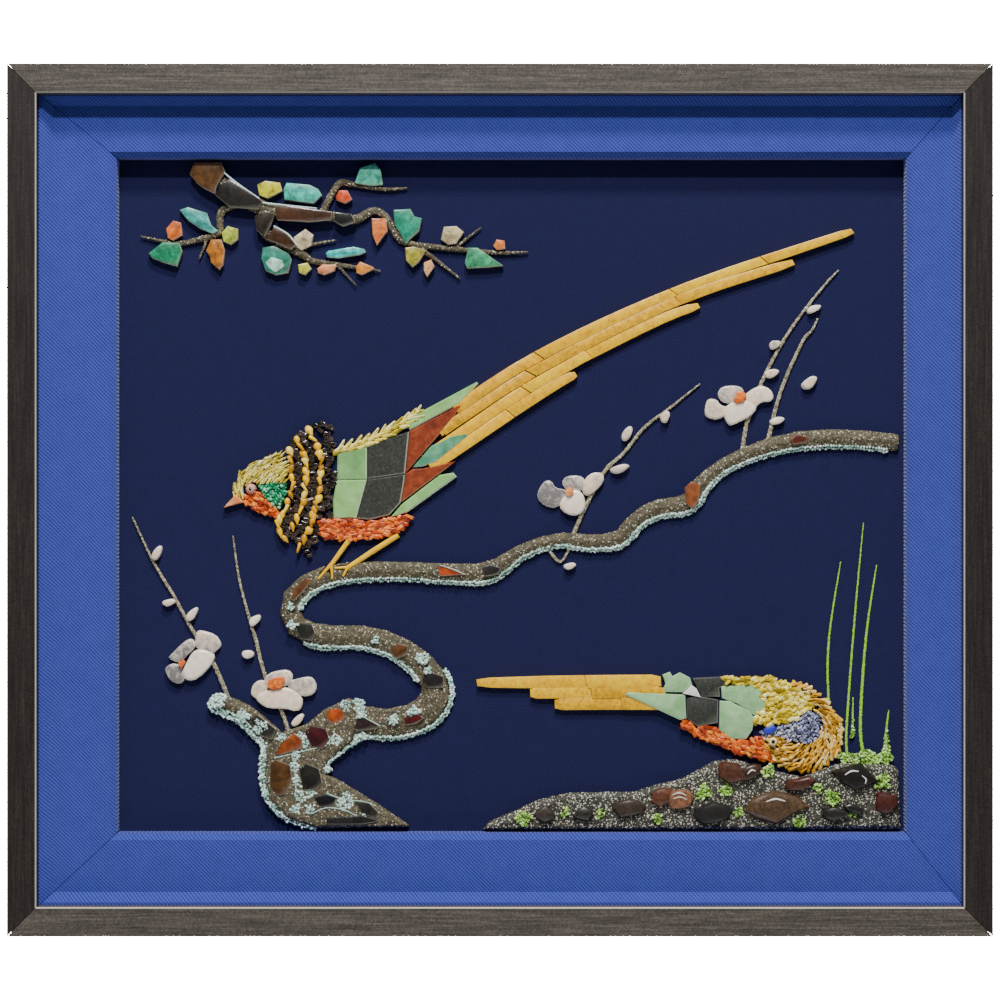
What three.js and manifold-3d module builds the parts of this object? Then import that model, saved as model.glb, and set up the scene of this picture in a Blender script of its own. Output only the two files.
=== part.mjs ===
// A framed hardstone inlay picture. Millimetres, +Z up, the picture faces -Y.
// The origin is the centre of the back face, which lies against the wall.
import * as THREE from 'three';
import Module from 'manifold-3d';

// The picture, which fills the opening of the liner. The frame is made to fit round it.
const pictureWidth = 493;
const pictureHeight = 421.8;

// Frame
const frameDepth = 38;
const frameFace = 18.3;
const rebateWidth = 5;
const lipThickness = 8.7;
const frameArris = 0.8;

// Boards behind the picture
const backingThickness = 4;
const panelThickness = 6;
const panelLap = 10;

// Cloth-covered liner: visible width on each side, then its section from the back
const linerLeft = 47.4;
const linerRight = 33;
const linerTop = 38;
const linerBottom = 43.6;
const linerRecess = 14;
const linerRimRise = 5;
const linerLipDrop = 3;

// Clearance between pieces that touch
const fitGap = 0.3;

// Heights of the stones above the cloth
const tileHeight = 3.4;
const stripHeight = 3.2;
const chipHeight = 4.6;
const bandHeight = 3.8;
const barkHeight = 4.4;
const trunkHeight = 5.6;
const twigHeight = 1.8;
const petalHeight = 4.2;
const centreHeight = 2.2;
const leafHeight = 3.8;
const legHeight = 2.4;
const bankHeight = 6;
const pebbleHeight = 8.5;
const grassHeight = 1.4;
const eyeHeight = 2;
const tileBevel = 0.9;
const chipBevel = 0.8;

// Thickness of the lines drawn in stone
const legWidth = 3.2;
const toeWidth = 1.5;
const grassWidth = 1.9;

const openingWidth = linerLeft + pictureWidth + linerRight;
const openingHeight = linerTop + pictureHeight + linerBottom;
const frameWidth = openingWidth + 2 * frameFace;
const frameHeight = openingHeight + 2 * frameFace;
const sightX = (linerLeft - linerRight) / 2;
const sightZ = (linerBottom - linerTop) / 2;
const panelBack = backingThickness + fitGap;
const panelFront = panelBack + panelThickness;
const linerBack = panelFront + fitGap;
const linerFlat = frameDepth - linerRecess;
const linerRim = Math.min(linerFlat + linerRimRise, frameDepth - lipThickness - fitGap);
// The points of the design are given from the centre of a picture of 493 x 421.8 mm
const art = new THREE.Vector2(pictureWidth / 493, pictureHeight / 421.8);

const wasm = await Module();
wasm.setup();

// Joins rings of equal length into one closed body. Both end faces are triangulated from one flat outline.
function loft(rings, flat) {
  const count = rings[0].length;
  const positions = rings.flat().flatMap((p) => [p.x, p.y, p.z]);
  const index = [];
  for (let r = 0; r < rings.length - 1; r++) {
    for (let i = 0; i < count; i++) {
      const a = r * count + i;
      const b = r * count + (i + 1) % count;
      index.push(a, b, a + count, b, b + count, a + count);
    }
  }
  const last = (rings.length - 1) * count;
  for (const [a, b, c] of capOf(flat)) index.push(a, c, b, last + a, last + b, last + c);
  const geometry = new THREE.BufferGeometry();
  geometry.setAttribute('position', new THREE.Float32BufferAttribute(positions, 3));
  geometry.setIndex(signedVolume(positions, index) < 0 ? turned(index) : index);
  return geometry;
}

// The triangles of an end face, run in the same direction as its outline
function capOf(flat) {
  const way = Math.sign(THREE.ShapeUtils.area(flat));
  return THREE.ShapeUtils.triangulateShape(flat.slice(), []).map(([a, b, c]) => {
    return Math.sign(THREE.ShapeUtils.area([flat[a], flat[b], flat[c]])) === way ? [a, b, c] : [a, c, b];
  });
}

function signedVolume(positions, index) {
  let sum = 0;
  const at = (i) => new THREE.Vector3(positions[3 * i], positions[3 * i + 1], positions[3 * i + 2]);
  for (let i = 0; i < index.length; i += 3) {
    sum += at(index[i]).dot(at(index[i + 1]).cross(at(index[i + 2])));
  }
  return sum / 6;
}

function turned(index) {
  const out = [];
  for (let i = 0; i < index.length; i += 3) out.push(index[i], index[i + 2], index[i + 1]);
  return out;
}

function solidOf(geometry) {
  const mesh = new wasm.Mesh({
    numProp: 3,
    vertProperties: new Float32Array(geometry.attributes.position.array),
    triVerts: new Uint32Array(geometry.index.array),
  });
  return new wasm.Manifold(mesh);
}

function geometryOf(solid) {
  const mesh = solid.getMesh();
  const geometry = new THREE.BufferGeometry();
  geometry.setAttribute('position', new THREE.BufferAttribute(new Float32Array(mesh.vertProperties), 3));
  geometry.setIndex(new THREE.BufferAttribute(new Uint32Array(mesh.triVerts), 1));
  return geometry;
}

function join(solids) {
  return solids.reduce((sum, next) => sum.add(next));
}

// The design's points, in millimetres from the centre of the opening
function drawn(points) {
  return points.map(([x, y]) => new THREE.Vector2(x, y).multiply(art));
}

// An outline run counter-clockwise and moved outwards, or inwards with a negative distance
function offsetOutline(outline, distance) {
  const ring = THREE.ShapeUtils.area(outline) < 0 ? outline.slice().reverse() : outline;
  return ring.map((p, i) => {
    const before = ring[(i + ring.length - 1) % ring.length];
    const after = ring[(i + 1) % ring.length];
    const a = p.clone().sub(before).normalize();
    const b = after.clone().sub(p).normalize();
    const normal = new THREE.Vector2(a.y + b.y, -a.x - b.x).normalize();
    const stretch = Math.max(0.5, normal.x * a.y - normal.y * a.x);
    const room = 0.42 * Math.min(p.distanceTo(before), p.distanceTo(after));
    return p.clone().addScaledVector(normal, Math.max(distance / stretch, -room));
  });
}

const lift = (outline, z) => outline.map((p) => new THREE.Vector3(p.x, p.y, z));

// A keep-out is the footprint of a stone, grown by the clearance and taller than any stone
const reach = 60;

// A flat tile with a bevelled edge
function tile(outline, height, bevel, grow) {
  if (grow > 0) {
    const ring = offsetOutline(outline, grow);
    return solidOf(loft([lift(ring, -1), lift(ring, reach)], ring));
  }
  const ring = offsetOutline(outline, 0);
  const top = offsetOutline(outline, -bevel);
  const rings = [lift(ring, fitGap), lift(ring, fitGap + height - bevel), lift(top, fitGap + height)];
  return solidOf(loft(rings, ring));
}

// A small chip with sloping sides
function chip(outline, height, grow) {
  if (grow > 0) return tile(outline, height, 0, grow);
  const ring = offsetOutline(outline, 0);
  const top = offsetOutline(outline, -chipBevel);
  return solidOf(loft([lift(ring, fitGap), lift(top, fitGap + height)], ring));
}

// A rounded stone: its outline shrinks towards the middle as it rises
function pebble(outline, height, grow, levels = 3) {
  if (grow > 0) return tile(outline, height, 0, grow);
  const ring = offsetOutline(outline, 0);
  const middle = ring.reduce((sum, p) => sum.add(p), new THREE.Vector2()).divideScalar(ring.length);
  const rings = [lift(ring, fitGap)];
  for (let k = 1; k <= levels; k++) {
    const angle = (k / levels) * 1.15;
    const shrunk = ring.map((p) => p.clone().lerp(middle, 1 - Math.cos(angle)));
    rings.push(lift(shrunk, fitGap + (height * Math.sin(angle)) / Math.sin(1.15)));
  }
  return solidOf(loft(rings, ring));
}

// A line of stone laid along a curve, with its width at each point and a section given as shares.
// Where other stones may lie over it, it only keeps out its own height.
const barkSection = [[-0.5, 0], [-0.4, 0.66], [0, 1], [0.4, 0.66], [0.5, 0]];
const flatSection = [[-0.5, 0], [-0.5, 0.7], [-0.34, 1], [0.34, 1], [0.5, 0.7], [0.5, 0]];
const ridgeSection = [[-0.5, 0], [0, 1], [0.5, 0]];

const curveOf = (points) => {
  return new THREE.CatmullRomCurve3(points.map((p) => new THREE.Vector3(p.x, p.y, 0)), false, 'centripetal');
};

function line(points, widths, height, grow, steps, section = ridgeSection, under = false) {
  const path = curveOf(points);
  const shares = grow > 0 ? [[-0.5, 0], [-0.5, 1], [0.5, 1], [0.5, 0]] : section;
  const keep = under ? fitGap + height + grow + 1 : reach;
  const rings = [];
  for (let k = 0; k <= steps; k++) {
    const t = k / steps;
    const at = path.getPoint(t);
    const along = path.getTangent(t);
    const place = t * (widths.length - 1);
    const i = Math.min(Math.floor(place), widths.length - 2);
    const width = THREE.MathUtils.lerp(widths[i], widths[i + 1], place - i) * art.y + 2 * grow;
    const overrun = k === 0 ? -grow : k === steps ? grow : 0;
    rings.push(shares.map(([u, h]) => new THREE.Vector3(
      at.x - along.y * u * width + along.x * overrun,
      at.y + along.x * u * width + along.y * overrun,
      grow > 0 ? h * keep - 1 : fitGap + h * height,
    )));
  }
  const flat = shares.map(([u, h]) => new THREE.Vector2(u, h));
  return solidOf(loft(rings, flat));
}

// An oval or drop-shaped chip: tip runs from 0, blunt, to 1, pointed at the end it is turned towards
function chipOutline(x, y, length, width, turn, tip, sides) {
  const angle = THREE.MathUtils.degToRad(turn);
  const middle = new THREE.Vector2(x, y);
  const points = [];
  for (let k = 0; k < sides; k++) {
    const a = (k / sides) * 2 * Math.PI;
    const u = Math.cos(a);
    const v = Math.sin(a) * (1 - tip * (u + 1) * 0.42) * (1 + 0.08 * Math.sin(3 * k + x));
    const p = new THREE.Vector2((u * length) / 2, (v * width) / 2);
    points.push(p.rotateAround(new THREE.Vector2(), angle).add(middle).multiply(art));
  }
  return points;
}

// Small chips that overlap along a curve, in one lane or several: each rises and widens at its front end
function chipRow({ points, widths, count, rows = 1, height }, grow) {
  const path = curveOf(points);
  const section = grow > 0 ? [[-0.5, 0], [-0.5, 1], [0.5, 1], [0.5, 0]] : barkSection;
  const flat = section.map(([u, h]) => new THREE.Vector2(u, h));
  const lanes = [];
  for (let r = 0; r < rows; r++) {
    const steps = 2 * count;
    const rings = [];
    for (let k = 0; k <= steps; k++) {
      const t = k / steps;
      const at = path.getPoint(t);
      const along = path.getTangent(t);
      const place = t * (widths.length - 1);
      const i = Math.min(Math.floor(place), widths.length - 2);
      const lane = (THREE.MathUtils.lerp(widths[i], widths[i + 1], place - i) * art.y) / rows;
      const rise = grow > 0 || (k + r) % 2 === 0 ? 1 : 0.7;
      const width = lane * (rise + 0.3) * (rows > 1 ? 0.96 : 0.77) + 2 * grow;
      const side = lane * (r - (rows - 1) / 2);
      rings.push(section.map(([u, h]) => new THREE.Vector3(
        at.x - along.y * (u * width + side),
        at.y + along.x * (u * width + side),
        grow > 0 ? h * reach - 1 : fitGap + h * height * rise,
      )));
    }
    lanes.push(solidOf(loft(rings, flat)));
  }
  return join(lanes);
}

// Stones in the order in which they are set. Each one is cut clear of those set before it.
const set = [];

function near(a, b) {
  return a.min[0] < b.max[0] && b.min[0] < a.max[0] && a.min[1] < b.max[1] && b.min[1] < a.max[1];
}

function setStone(name, look, make) {
  let solid = make(0);
  const box = solid.boundingBox();
  for (const other of set) {
    if (near(box, other.keepOut.boundingBox())) solid = solid.subtract(other.keepOut);
  }
  const parts = solid.decompose().sort((a, b) => b.volume() - a.volume());
  set.push({ name, look, solid: parts[0], keepOut: make(fitGap) });
}

// Standing pheasant: tiles of the wing, which share their corners
const wing = {
  topLeft: [-109.3, 27.5], topMid: [-90.6, 30.8], topRight: [-64, 40.6], cross: [-90.6, 10.2],
  left: [-109.8, 9.8], leftLow: [-112.2, -3.4], footLeft: [-111.8, -14.4], footMid: [-97.4, -14.6],
  waist: [-66.6, 13.6], waistLow: [-67.3, 7.3], heel: [-69.4, -4.6], toe: [-76.6, -12.4],
};
const wingTiles = [
  ['jade', [wing.topLeft, wing.topMid, wing.cross, wing.left]],
  ['jade', [wing.left, wing.cross, wing.footMid, wing.footLeft, wing.leftLow]],
  ['slate', [wing.topMid, [-86.3, 32.9], wing.topRight, wing.waist, wing.cross]],
  ['slate', [wing.cross, wing.waist, wing.waistLow, wing.heel, wing.toe, [-88.8, -15.4], wing.footMid]],
  ['jade', [[-66.1, 46.4], [-56, 53.2], [-21.6, 71.6], [-20.8, 70], [-32, 57.8], wing.topRight]],
  ['jasper', [wing.topRight, [-32, 57.4], [-31.6, 56], [-37.7, 47], wing.waist]],
  ['jade', [[-62.2, 17.6], [-50.5, 31.2], [-38.4, 37.4], [-27.6, 39], [-27, 37.6], [-47, 20.6], [-56, 18]]],
  ['jasper', [wing.waist, [-62.2, 16.8], [-56, 17.1], [-34.8, 21.7], [-44.2, 14.2], wing.heel, wing.waistLow]],
  ['jade', [[-69, -5.4], [-45.2, 13], [-36.4, 14.5], [-34.1, 11.7], [-65.2, -10.6], [-76.2, -13.8]]],
];
wingTiles.forEach(([look, points], k) => {
  setStone(`standing_wing_tile_${k + 1}`, look, (grow) => {
    return tile(offsetOutline(drawn(points), -fitGap / 2), tileHeight, tileBevel, grow);
  });
});

setStone('standing_eye', 'rose', (grow) => {
  return pebble(chipOutline(-163.5, 4.1, 7.4, 7.4, 0, 0, 10), chipHeight + eyeHeight, grow);
});
setStone('standing_beak', 'orange', (grow) => {
  return tile(drawn([[-180.6, -7.6], [-173.2, 0.6], [-167.6, -4.2]]), bandHeight, chipBevel, grow);
});
setStone('standing_cheek', 'malachite', (grow) => {
  const outline = drawn([[-159, 7.1], [-150, 8.6], [-142, 7.1], [-141, 3.5], [-145.8, -8.8], [-154, -2.5]]);
  return pebble(outline, chipHeight, grow, 2);
});

// Crest: a rounded cap with slivers that fan out behind it
setStone('standing_crest', 'straw', (grow) => {
  const cap = drawn([[-174, -1.3], [-174.3, 5], [-170, 14.5], [-161, 20.8], [-153, 24.4], [-146, 26],
    [-140.6, 15], [-141.2, 8.6], [-151, 8.9], [-159.6, 8.2], [-168, -1.3]]);
  const solids = [tile(cap, bandHeight, chipBevel, grow)];
  for (let k = 0; k < 8; k++) {
    const t = k / 7;
    const x = -172 + 29 * t;
    const y = 3 + 22 * Math.sin(t * 1.35);
    solids.push(chip(chipOutline(x, y, 11, 3.6, 78 - 34 * t, 0.6, 4), chipHeight, grow));
  }
  return join(solids);
});
setStone('standing_throat', 'carnelian', (grow) => chipRow({
  points: drawn([[-168.5, -3.4], [-160, -3.2], [-152.5, -8.4], [-146.5, -12]]),
  widths: [3.4, 7, 7.4, 4.4], count: 5, height: chipHeight,
}, grow));

// Cape: rows of yellow chips between bands of dark stone
const capeRows = [
  [[-139, 29.5], [-137.6, 15.7], [-138.6, 1.9], [-143.6, -10], [-146.6, -18.2], [-140.4, -29.2]],
  [[-134.6, 36], [-130, 25.1], [-128.7, 15.7], [-130, 3.4], [-132.6, -8.8], [-137, -20.6]],
  [[-127.3, 41.4], [-121.8, 30.7], [-120, 19.7], [-119.8, 10], [-122.2, -3.4], [-124, -11.6], [-128, -22.6],
    [-134.6, -33.2]],
];
capeRows.forEach((points, k) => {
  setStone(`standing_cape_row_${k + 1}`, 'straw', (grow) => chipRow({
    points: drawn(points), widths: [3.2, 5, 5, 4.8, 4.6, 3], count: 9, height: chipHeight,
  }, grow));
});
const capeBands = [
  [[-137.2, 34], [-133.9, 22], [-133.4, 12], [-134.5, 1], [-138.3, -10], [-142, -18.4], [-139, -25]],
  [[-131.4, 39.6], [-125.8, 28], [-124.2, 17], [-124.6, 5], [-127.2, -7], [-130.4, -16], [-135.4, -27.4]],
  [[-122.4, 46], [-116.4, 36], [-115, 26], [-115.9, 12], [-116.9, 0], [-119.4, -12], [-125, -24], [-131.6, -35]],
];
capeBands.forEach((points, k) => {
  setStone(`standing_cape_band_${k + 1}`, 'obsidian', (grow) => {
    return line(drawn(points), [3, 6.4, 6.4, 6, 6, 3], bandHeight, grow, 9, flatSection);
  });
});
setStone('standing_back_scales', 'gold', (grow) => chipRow({
  points: drawn([[-108.6, 30.6], [-91, 35], [-72, 44.6], [-58, 53.4]]),
  widths: [3.6, 5.6, 6, 3.4], count: 8, height: chipHeight,
}, grow));
setStone('standing_belly', 'carnelian', (grow) => chipRow({
  points: drawn([[-120.4, -20.6], [-104, -21.8], [-86, -21], [-72, -17.6], [-64.6, -13]]),
  widths: [6.6, 12, 10, 8, 3.4], count: 6, rows: 2, height: chipHeight,
}, grow));

// Legs, each with three toes
function leg(from, to, toes, grow) {
  const solids = [line(drawn([from, to]), [legWidth, legWidth * 0.8], legHeight, grow, 1, flatSection)];
  for (const toe of toes) {
    solids.push(line(drawn([to, toe]), [toeWidth * 1.4, toeWidth * 0.6], legHeight * 0.8, grow, 1));
  }
  return join(solids);
}
setStone('standing_leg_front', 'gold', (grow) => {
  return leg([-101.6, -26], [-114, -44], [[-121.4, -51.8], [-112.6, -52.6]], grow);
});
setStone('standing_leg_rear', 'gold', (grow) => {
  return leg([-71.4, -24.6], [-103.4, -45.6], [[-110.6, -45.2], [-104.6, -50.6]], grow);
});

// Tail: four long rows of honey-coloured strips
const tailRows = [
  { points: [[-29.4, 58.4], [5, 80.9], [47, 102.8], [93.4, 124.1], [134.2, 139.5], [174.9, 153], [214.6, 166.2]],
    widths: [6.8, 6.8, 7, 5.6, 5.8, 5.6, 4.4] },
  { points: [[-38.9, 43.7], [7.5, 74], [52, 97.6], [93.4, 117.6], [123.5, 129.6], [150, 138.2], [177.4, 146.6]],
    widths: [6.4, 6.4, 6.2, 6, 6, 5.6, 5] },
  { points: [[-43.3, 31.2], [2.5, 62.4], [37.6, 82.6], [49.5, 89], [93.4, 110.6], [117.9, 119.4]],
    widths: [6.6, 6.8, 6.4, 6.4, 6.2, 4.4] },
  { points: [[-46.4, 20.4], [-0.6, 51.6], [27.6, 69.6], [40.6, 76.2]], widths: [6.8, 7, 6.4, 4.4] },
];
tailRows.forEach(({ points, widths }, k) => {
  setStone(`standing_tail_row_${k + 1}`, 'honey', (grow) => {
    return line(drawn(points), widths, stripHeight, grow, 7, flatSection);
  });
});

// Grass: blades that rise from one low tuft on the bank
const blades = [
  [[[208, -166], [199, -129.8], [199.4, -90.9], [206.9, -41.4]], [1, 1, 1, 0.6]],
  [[[211, -165.6], [210.4, -150], [212.6, -116], [221.2, -16.9]], [1.2, 1.1, 1, 0.6]],
  [[[222, -165.8], [219.2, -145.3], [222.6, -90.9], [229.4, -43.5]], [1.6, 1.4, 1, 0.6]],
  [[[236, -166.6], [234.5, -158], [237, -134.8]], [2.6, 1.8, 0.5]],
];
setStone('grass_blades', 'moss', (grow) => {
  const solids = blades.map(([points, shares]) => {
    return line(drawn(points), shares.map((s) => s * grassWidth), grassHeight, grow, 5, ridgeSection, true);
  });
  solids.push(line(drawn([[205, -165.4], [222, -163.4], [240, -165.8]]), [3.4, 6.4, 3.4], grassHeight * 1.6, grow, 3,
    flatSection));
  return join(solids);
});

// Resting pheasant
setStone('resting_pale_tiles', 'jade', (grow) => join([
  tile(drawn([[70.7, -124.4], [109.7, -124.4], [109.2, -137.6], [106.4, -142], [93.4, -136.1]]),
    tileHeight, tileBevel, grow),
  tile(drawn([[93.4, -124.9], [98.6, -112.9], [113.1, -114.9], [118.3, -126.2]]), tileHeight, tileBevel, grow),
]));
setStone('resting_dark_tiles', 'slate', (grow) => join([
  tile(drawn([[114.2, -113], [134.4, -113.8], [137.4, -118.4], [129.8, -128.9], [119, -126.8]]),
    tileHeight, tileBevel, grow),
  tile(drawn([[110.2, -125.8], [130.1, -128.4], [129.5, -144], [122, -145.5], [111.2, -138.8]]),
    tileHeight, tileBevel, grow),
]));
setStone('resting_green_tiles', 'jade', (grow) => join([
  tile(drawn([[131, -119.7], [141.6, -118.8], [151.7, -119.6], [160.8, -127.8], [157, -137], [149, -137.6],
    [133.6, -130.6]]), tileHeight, tileBevel, grow),
  tile(drawn([[130.6, -129.3], [146.8, -134.2], [153.4, -140.8], [148.2, -154], [138.3, -152.2], [130.6, -144.2]]),
    tileHeight, tileBevel, grow),
]));
setStone('resting_nape', 'lapis', (grow) => chipRow({
  points: drawn([[158.6, -148.6], [168, -147.4], [181, -148], [190, -141], [185.4, -131]]),
  widths: [4, 6, 9, 11, 5], count: 4, rows: 2, height: chipHeight,
}, grow));
setStone('resting_neck_scales', 'gold', (grow) => chipRow({
  points: drawn([[140, -115.6], [160, -117], [178, -121], [192.4, -130.6], [201.4, -142], [200.6, -155.4],
    [190, -164], [175, -162.6], [162.6, -154.6]]),
  widths: [3.4, 5.4, 7, 10, 12.6, 14, 17, 17, 10], count: 11, rows: 2, height: chipHeight,
}, grow));
setStone('resting_back', 'citrine', (grow) => {
  const outline = drawn([[136, -117.4], [151.2, -117], [173.2, -119.6], [186, -127], [186, -134], [181.2, -141],
    [168.7, -143.4], [154, -145.7], [150, -136.9], [152, -126]]);
  return pebble(outline, chipHeight, grow, 2);
});
setStone('resting_belly', 'carnelian', (grow) => chipRow({
  points: drawn([[105.6, -142.6], [121, -149.4], [138, -157.4], [154, -163], [162.4, -166]]),
  widths: [3, 8, 9, 12, 6], count: 6, rows: 2, height: chipHeight,
}, grow));
setStone('resting_tail', 'honey', (grow) => join([
  line(drawn([[-22, -117.4], [40, -116.8], [97, -117]]), [1.6, 5.4, 7.6, 8], stripHeight, grow, 3, flatSection),
  line(drawn([[13, -123.8], [90, -123.4]]), [6, 6.6], stripHeight * 0.94, grow, 1, flatSection),
  line(drawn([[27, -130.4], [88, -129.6]]), [6.4, 7.2], stripHeight * 0.88, grow, 1, flatSection),
]));

// Winding branch with the trunk and five twigs, laid as one ground of stone grit
const branchPath = [[243, 33.2], [210, 36.2], [177, 34.5], [150, 27], [130, 17], [118, 6], [110.6, -4.5],
  [93.4, -7.5], [79.6, -14], [67, -27], [49.5, -29], [28, -27.5], [6, -35], [-14, -47.5], [-38, -48.5],
  [-72.7, -46.8], [-104, -48], [-126, -54], [-138.6, -67], [-136, -81], [-120, -88], [-94.7, -88.4],
  [-72.7, -94.5], [-54, -108.5], [-47, -123.5], [-55, -136.5], [-76, -143], [-101, -141.6], [-122, -153]];
const branchWidths = [11, 11.5, 11.5, 10, 9, 11, 12, 11.5, 11, 10, 10, 8.5, 8.5, 13, 12, 11, 12.5, 13.5, 14, 14,
  14.5, 14.5, 15, 17, 20, 20, 19, 20, 24];
const trunk = [[-145.8, -149.4], [-128.2, -143.3], [-117.6, -134.4], [-102, -127], [-92, -132], [-100, -154.7],
  [-110.6, -162.6], [-116.7, -168.8], [-118, -174.3], [-107, -179.3], [-81.6, -195.1], [-63.1, -207.6],
  [-122, -208.6], [-140.4, -202.1], [-151.1, -191.6], [-155, -177.6], [-153.7, -158.2]];
const twigs = [
  [[-176, -132], [-187.5, -104.7], [-201.9, -82.1], [-211.9, -63.3], [-225.1, -41.4], [-238.3, -13.2]],
  [[-139.8, -150], [-144.8, -134.2], [-154.9, -112.9], [-160.5, -90.9], [-164.3, -78.4], [-171.2, -52],
    [-174.9, -25.1]],
  [[38, -27], [46, -8], [58.9, 15.7], [70.2, 26.3], [83.4, 42.6], [99.7, 55.2], [118.5, 70.2]],
  [[144.8, 26], [148, 45.8], [157.4, 71.5], [169.3, 94.7], [181.8, 113.5], [196.9, 132.3], [205.7, 141.7]],
  [[160.5, 32], [169.3, 65.8], [183.1, 97.2], [188.7, 103.5], [192.5, 111.6]],
];
setStone('winding_branch', 'bark', (grow) => {
  const solids = [
    line(drawn(branchPath), branchWidths, barkHeight, grow, 44, barkSection),
    tile(drawn(trunk), trunkHeight, 1.6, grow),
    line(drawn([[-186, -129], [-176, -131.5], [-163, -140], [-149, -154]]), [6, 10, 12.6, 15], barkHeight, grow, 6,
      barkSection),
  ];
  for (const points of twigs) {
    solids.push(line(drawn(points), [3.2, 2.6, 2.2, 1.5], twigHeight, grow, 6, ridgeSection, true));
  }
  return join(solids);
});

// Plum blossom: overlapping petals, each given by place, length, width and turn, with a stone at the centre
const blossoms = [
  { centre: [-206.4, -104.6, 5.4, 6.2],
    petals: [[-206.6, -97.4, 18, 13.6, 20], [-191.8, -92.8, 15.6, 14, 60], [-196.6, -106.4, 20.6, 18, -12],
      [-211.2, -111, 13.4, 12.6, 60]] },
  { centre: [-147.4, -117.4, 9.4, 7.4],
    petals: [[-145.4, -116.4, 16.6, 13, 22], [-158, -122.6, 14, 12.8, 70], [-131.6, -120.4, 17, 11.8, -6],
      [-144, -128, 26, 14.6, -16]] },
  { centre: [36.2, 1.4, 5, 4.6],
    petals: [[26.6, 1.4, 17, 14.6, 30], [39, 6.4, 14, 10.6, 5], [51.4, 7.2, 14.4, 12.4, 40],
      [38.6, -4.4, 17, 15.4, 10]] },
  { centre: [143.6, 62.3, 7.6, 7],
    petals: [[138.4, 63.4, 17.6, 12.6, 10], [128.2, 55.2, 13, 12.4, 40], [155.6, 62, 18.4, 14.6, 14],
      [144.4, 52.6, 21.4, 15, -4]] },
];
blossoms.forEach(({ petals }, k) => {
  setStone(`blossom_${k + 1}`, 'quartz', (grow) => join(petals.map(([x, y, length, width, turn]) => {
    return pebble(chipOutline(x, y, length, width, turn, 0.12, 8), petalHeight, grow, 2);
  })));
});

// Leafy branch: bark lines, given with their widths, then the leaves that touch them
const sprays = [
  [[[-203, 206], [-192, 200], [-180, 194], [-168, 186], [-152.4, 178.7], [-132.3, 176.4], [-110.4, 174.2],
    [-97.8, 172.9], [-86.5, 178.9], [-78.4, 174.3], [-71.5, 162.4], [-63.3, 158], [-48.3, 156.1], [-29.5, 154.2],
    [-5, 152.4], [10.7, 153]], [10, 17, 16, 15, 12, 9, 8.6, 6.6, 4.6, 4.6, 4.4, 4, 3.6, 3, 2.4, 1.5], 14],
  [[[-170, 184], [-181.8, 178.7], [-183.1, 170.5], [-184, 164.9], [-195, 161.1], [-206.3, 158.6],
    [-216.9, 159.3], [-233.2, 163]], [5, 5, 4.5, 4, 4, 3, 2.5, 1.2], 7],
  [[[-155.5, 180], [-154.6, 166], [-147, 160], [-141.7, 157], [-130.4, 151], [-124.8, 147.3], [-107.2, 144.8],
    [-82.1, 141.1]], [10, 10, 7.4, 7, 5, 4, 3, 1.2], 7],
  [[[-120, 175], [-114, 187], [-107.8, 196.3], [-99.7, 195.5], [-80.9, 192.5], [-65.2, 193.1]],
    [5, 4.6, 4.2, 3.5, 2.5, 1.2], 5],
  [[[-191.2, 161], [-196.3, 148]], [2.6, 1.2], 1],
  [[[-109.7, 145], [-97.2, 131.7]], [2.6, 1.2], 1],
  [[[-36, 155], [-18.8, 168.7]], [2.8, 1.2], 1],
  [[[-63.3, 158], [-50.8, 150.5], [-32, 136.1]], [3.5, 3, 1.2], 3],
  [[[-134.8, 153], [-123.5, 158], [-109.7, 160.5]], [3, 2.6, 1.2], 2],
];
const leaves = [
  [-151, 190.4, 15.6, 11.4, 0, 0.4, 6], [-130.2, 186.2, 24.5, 14.4, -10, 0, 8], [-195, 171.6, 28, 10, -28, 0.5, 6],
  [-211, 164.4, 13, 10, 80, 0.3, 6], [-215.2, 153.2, 21.6, 15.8, 175, 0.7, 6], [-178.6, 163.6, 13, 11.6, -60, 0.3, 6],
  [-186, 152.8, 20.5, 10.6, -75, 0, 6], [-146.6, 148.4, 20, 19.4, 20, 0.1, 6], [-128.2, 158.8, 15, 12, -60, 0.3, 5],
  [-129, 143.2, 9.4, 9, 40, 0, 5], [-115.4, 142.4, 12.6, 7.6, 0, 0.2, 6], [-88, 199.4, 17.6, 15.4, 100, 0.3, 6],
  [-80.2, 167, 18, 11, -80, 0.8, 6], [-65.4, 168, 22.8, 17.6, -85, 0.5, 6], [-59.4, 150.8, 14.4, 13.4, -100, 0.4, 6],
  [-49.6, 143.2, 10.8, 7.6, -100, 0.3, 5], [-36.4, 161.6, 14, 12.2, 10, 0, 6], [-19.4, 147.6, 25, 13.4, -12, 0.85, 6],
  [-6.3, 156, 8.6, 8, 30, 0, 5], [-91.2, 142, 11.6, 9.4, 10, 0.4, 6],
];
setStone('leafy_branch', 'bark', (grow) => {
  const solids = sprays.map(([points, widths, steps]) => {
    return line(drawn(points), widths, barkHeight * 0.85, grow, steps, widths[0] > 4 ? barkSection : ridgeSection);
  });
  for (const leaf of leaves) solids.push(chip(chipOutline(...leaf), leafHeight, grow));
  return join(solids);
});
setStone('leaf_rod', 'turquoise', (grow) => {
  return chip(chipOutline(-103.1, 152.6, 26.6, 6.8, 7, 0.1, 7), leafHeight, grow);
});

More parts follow.
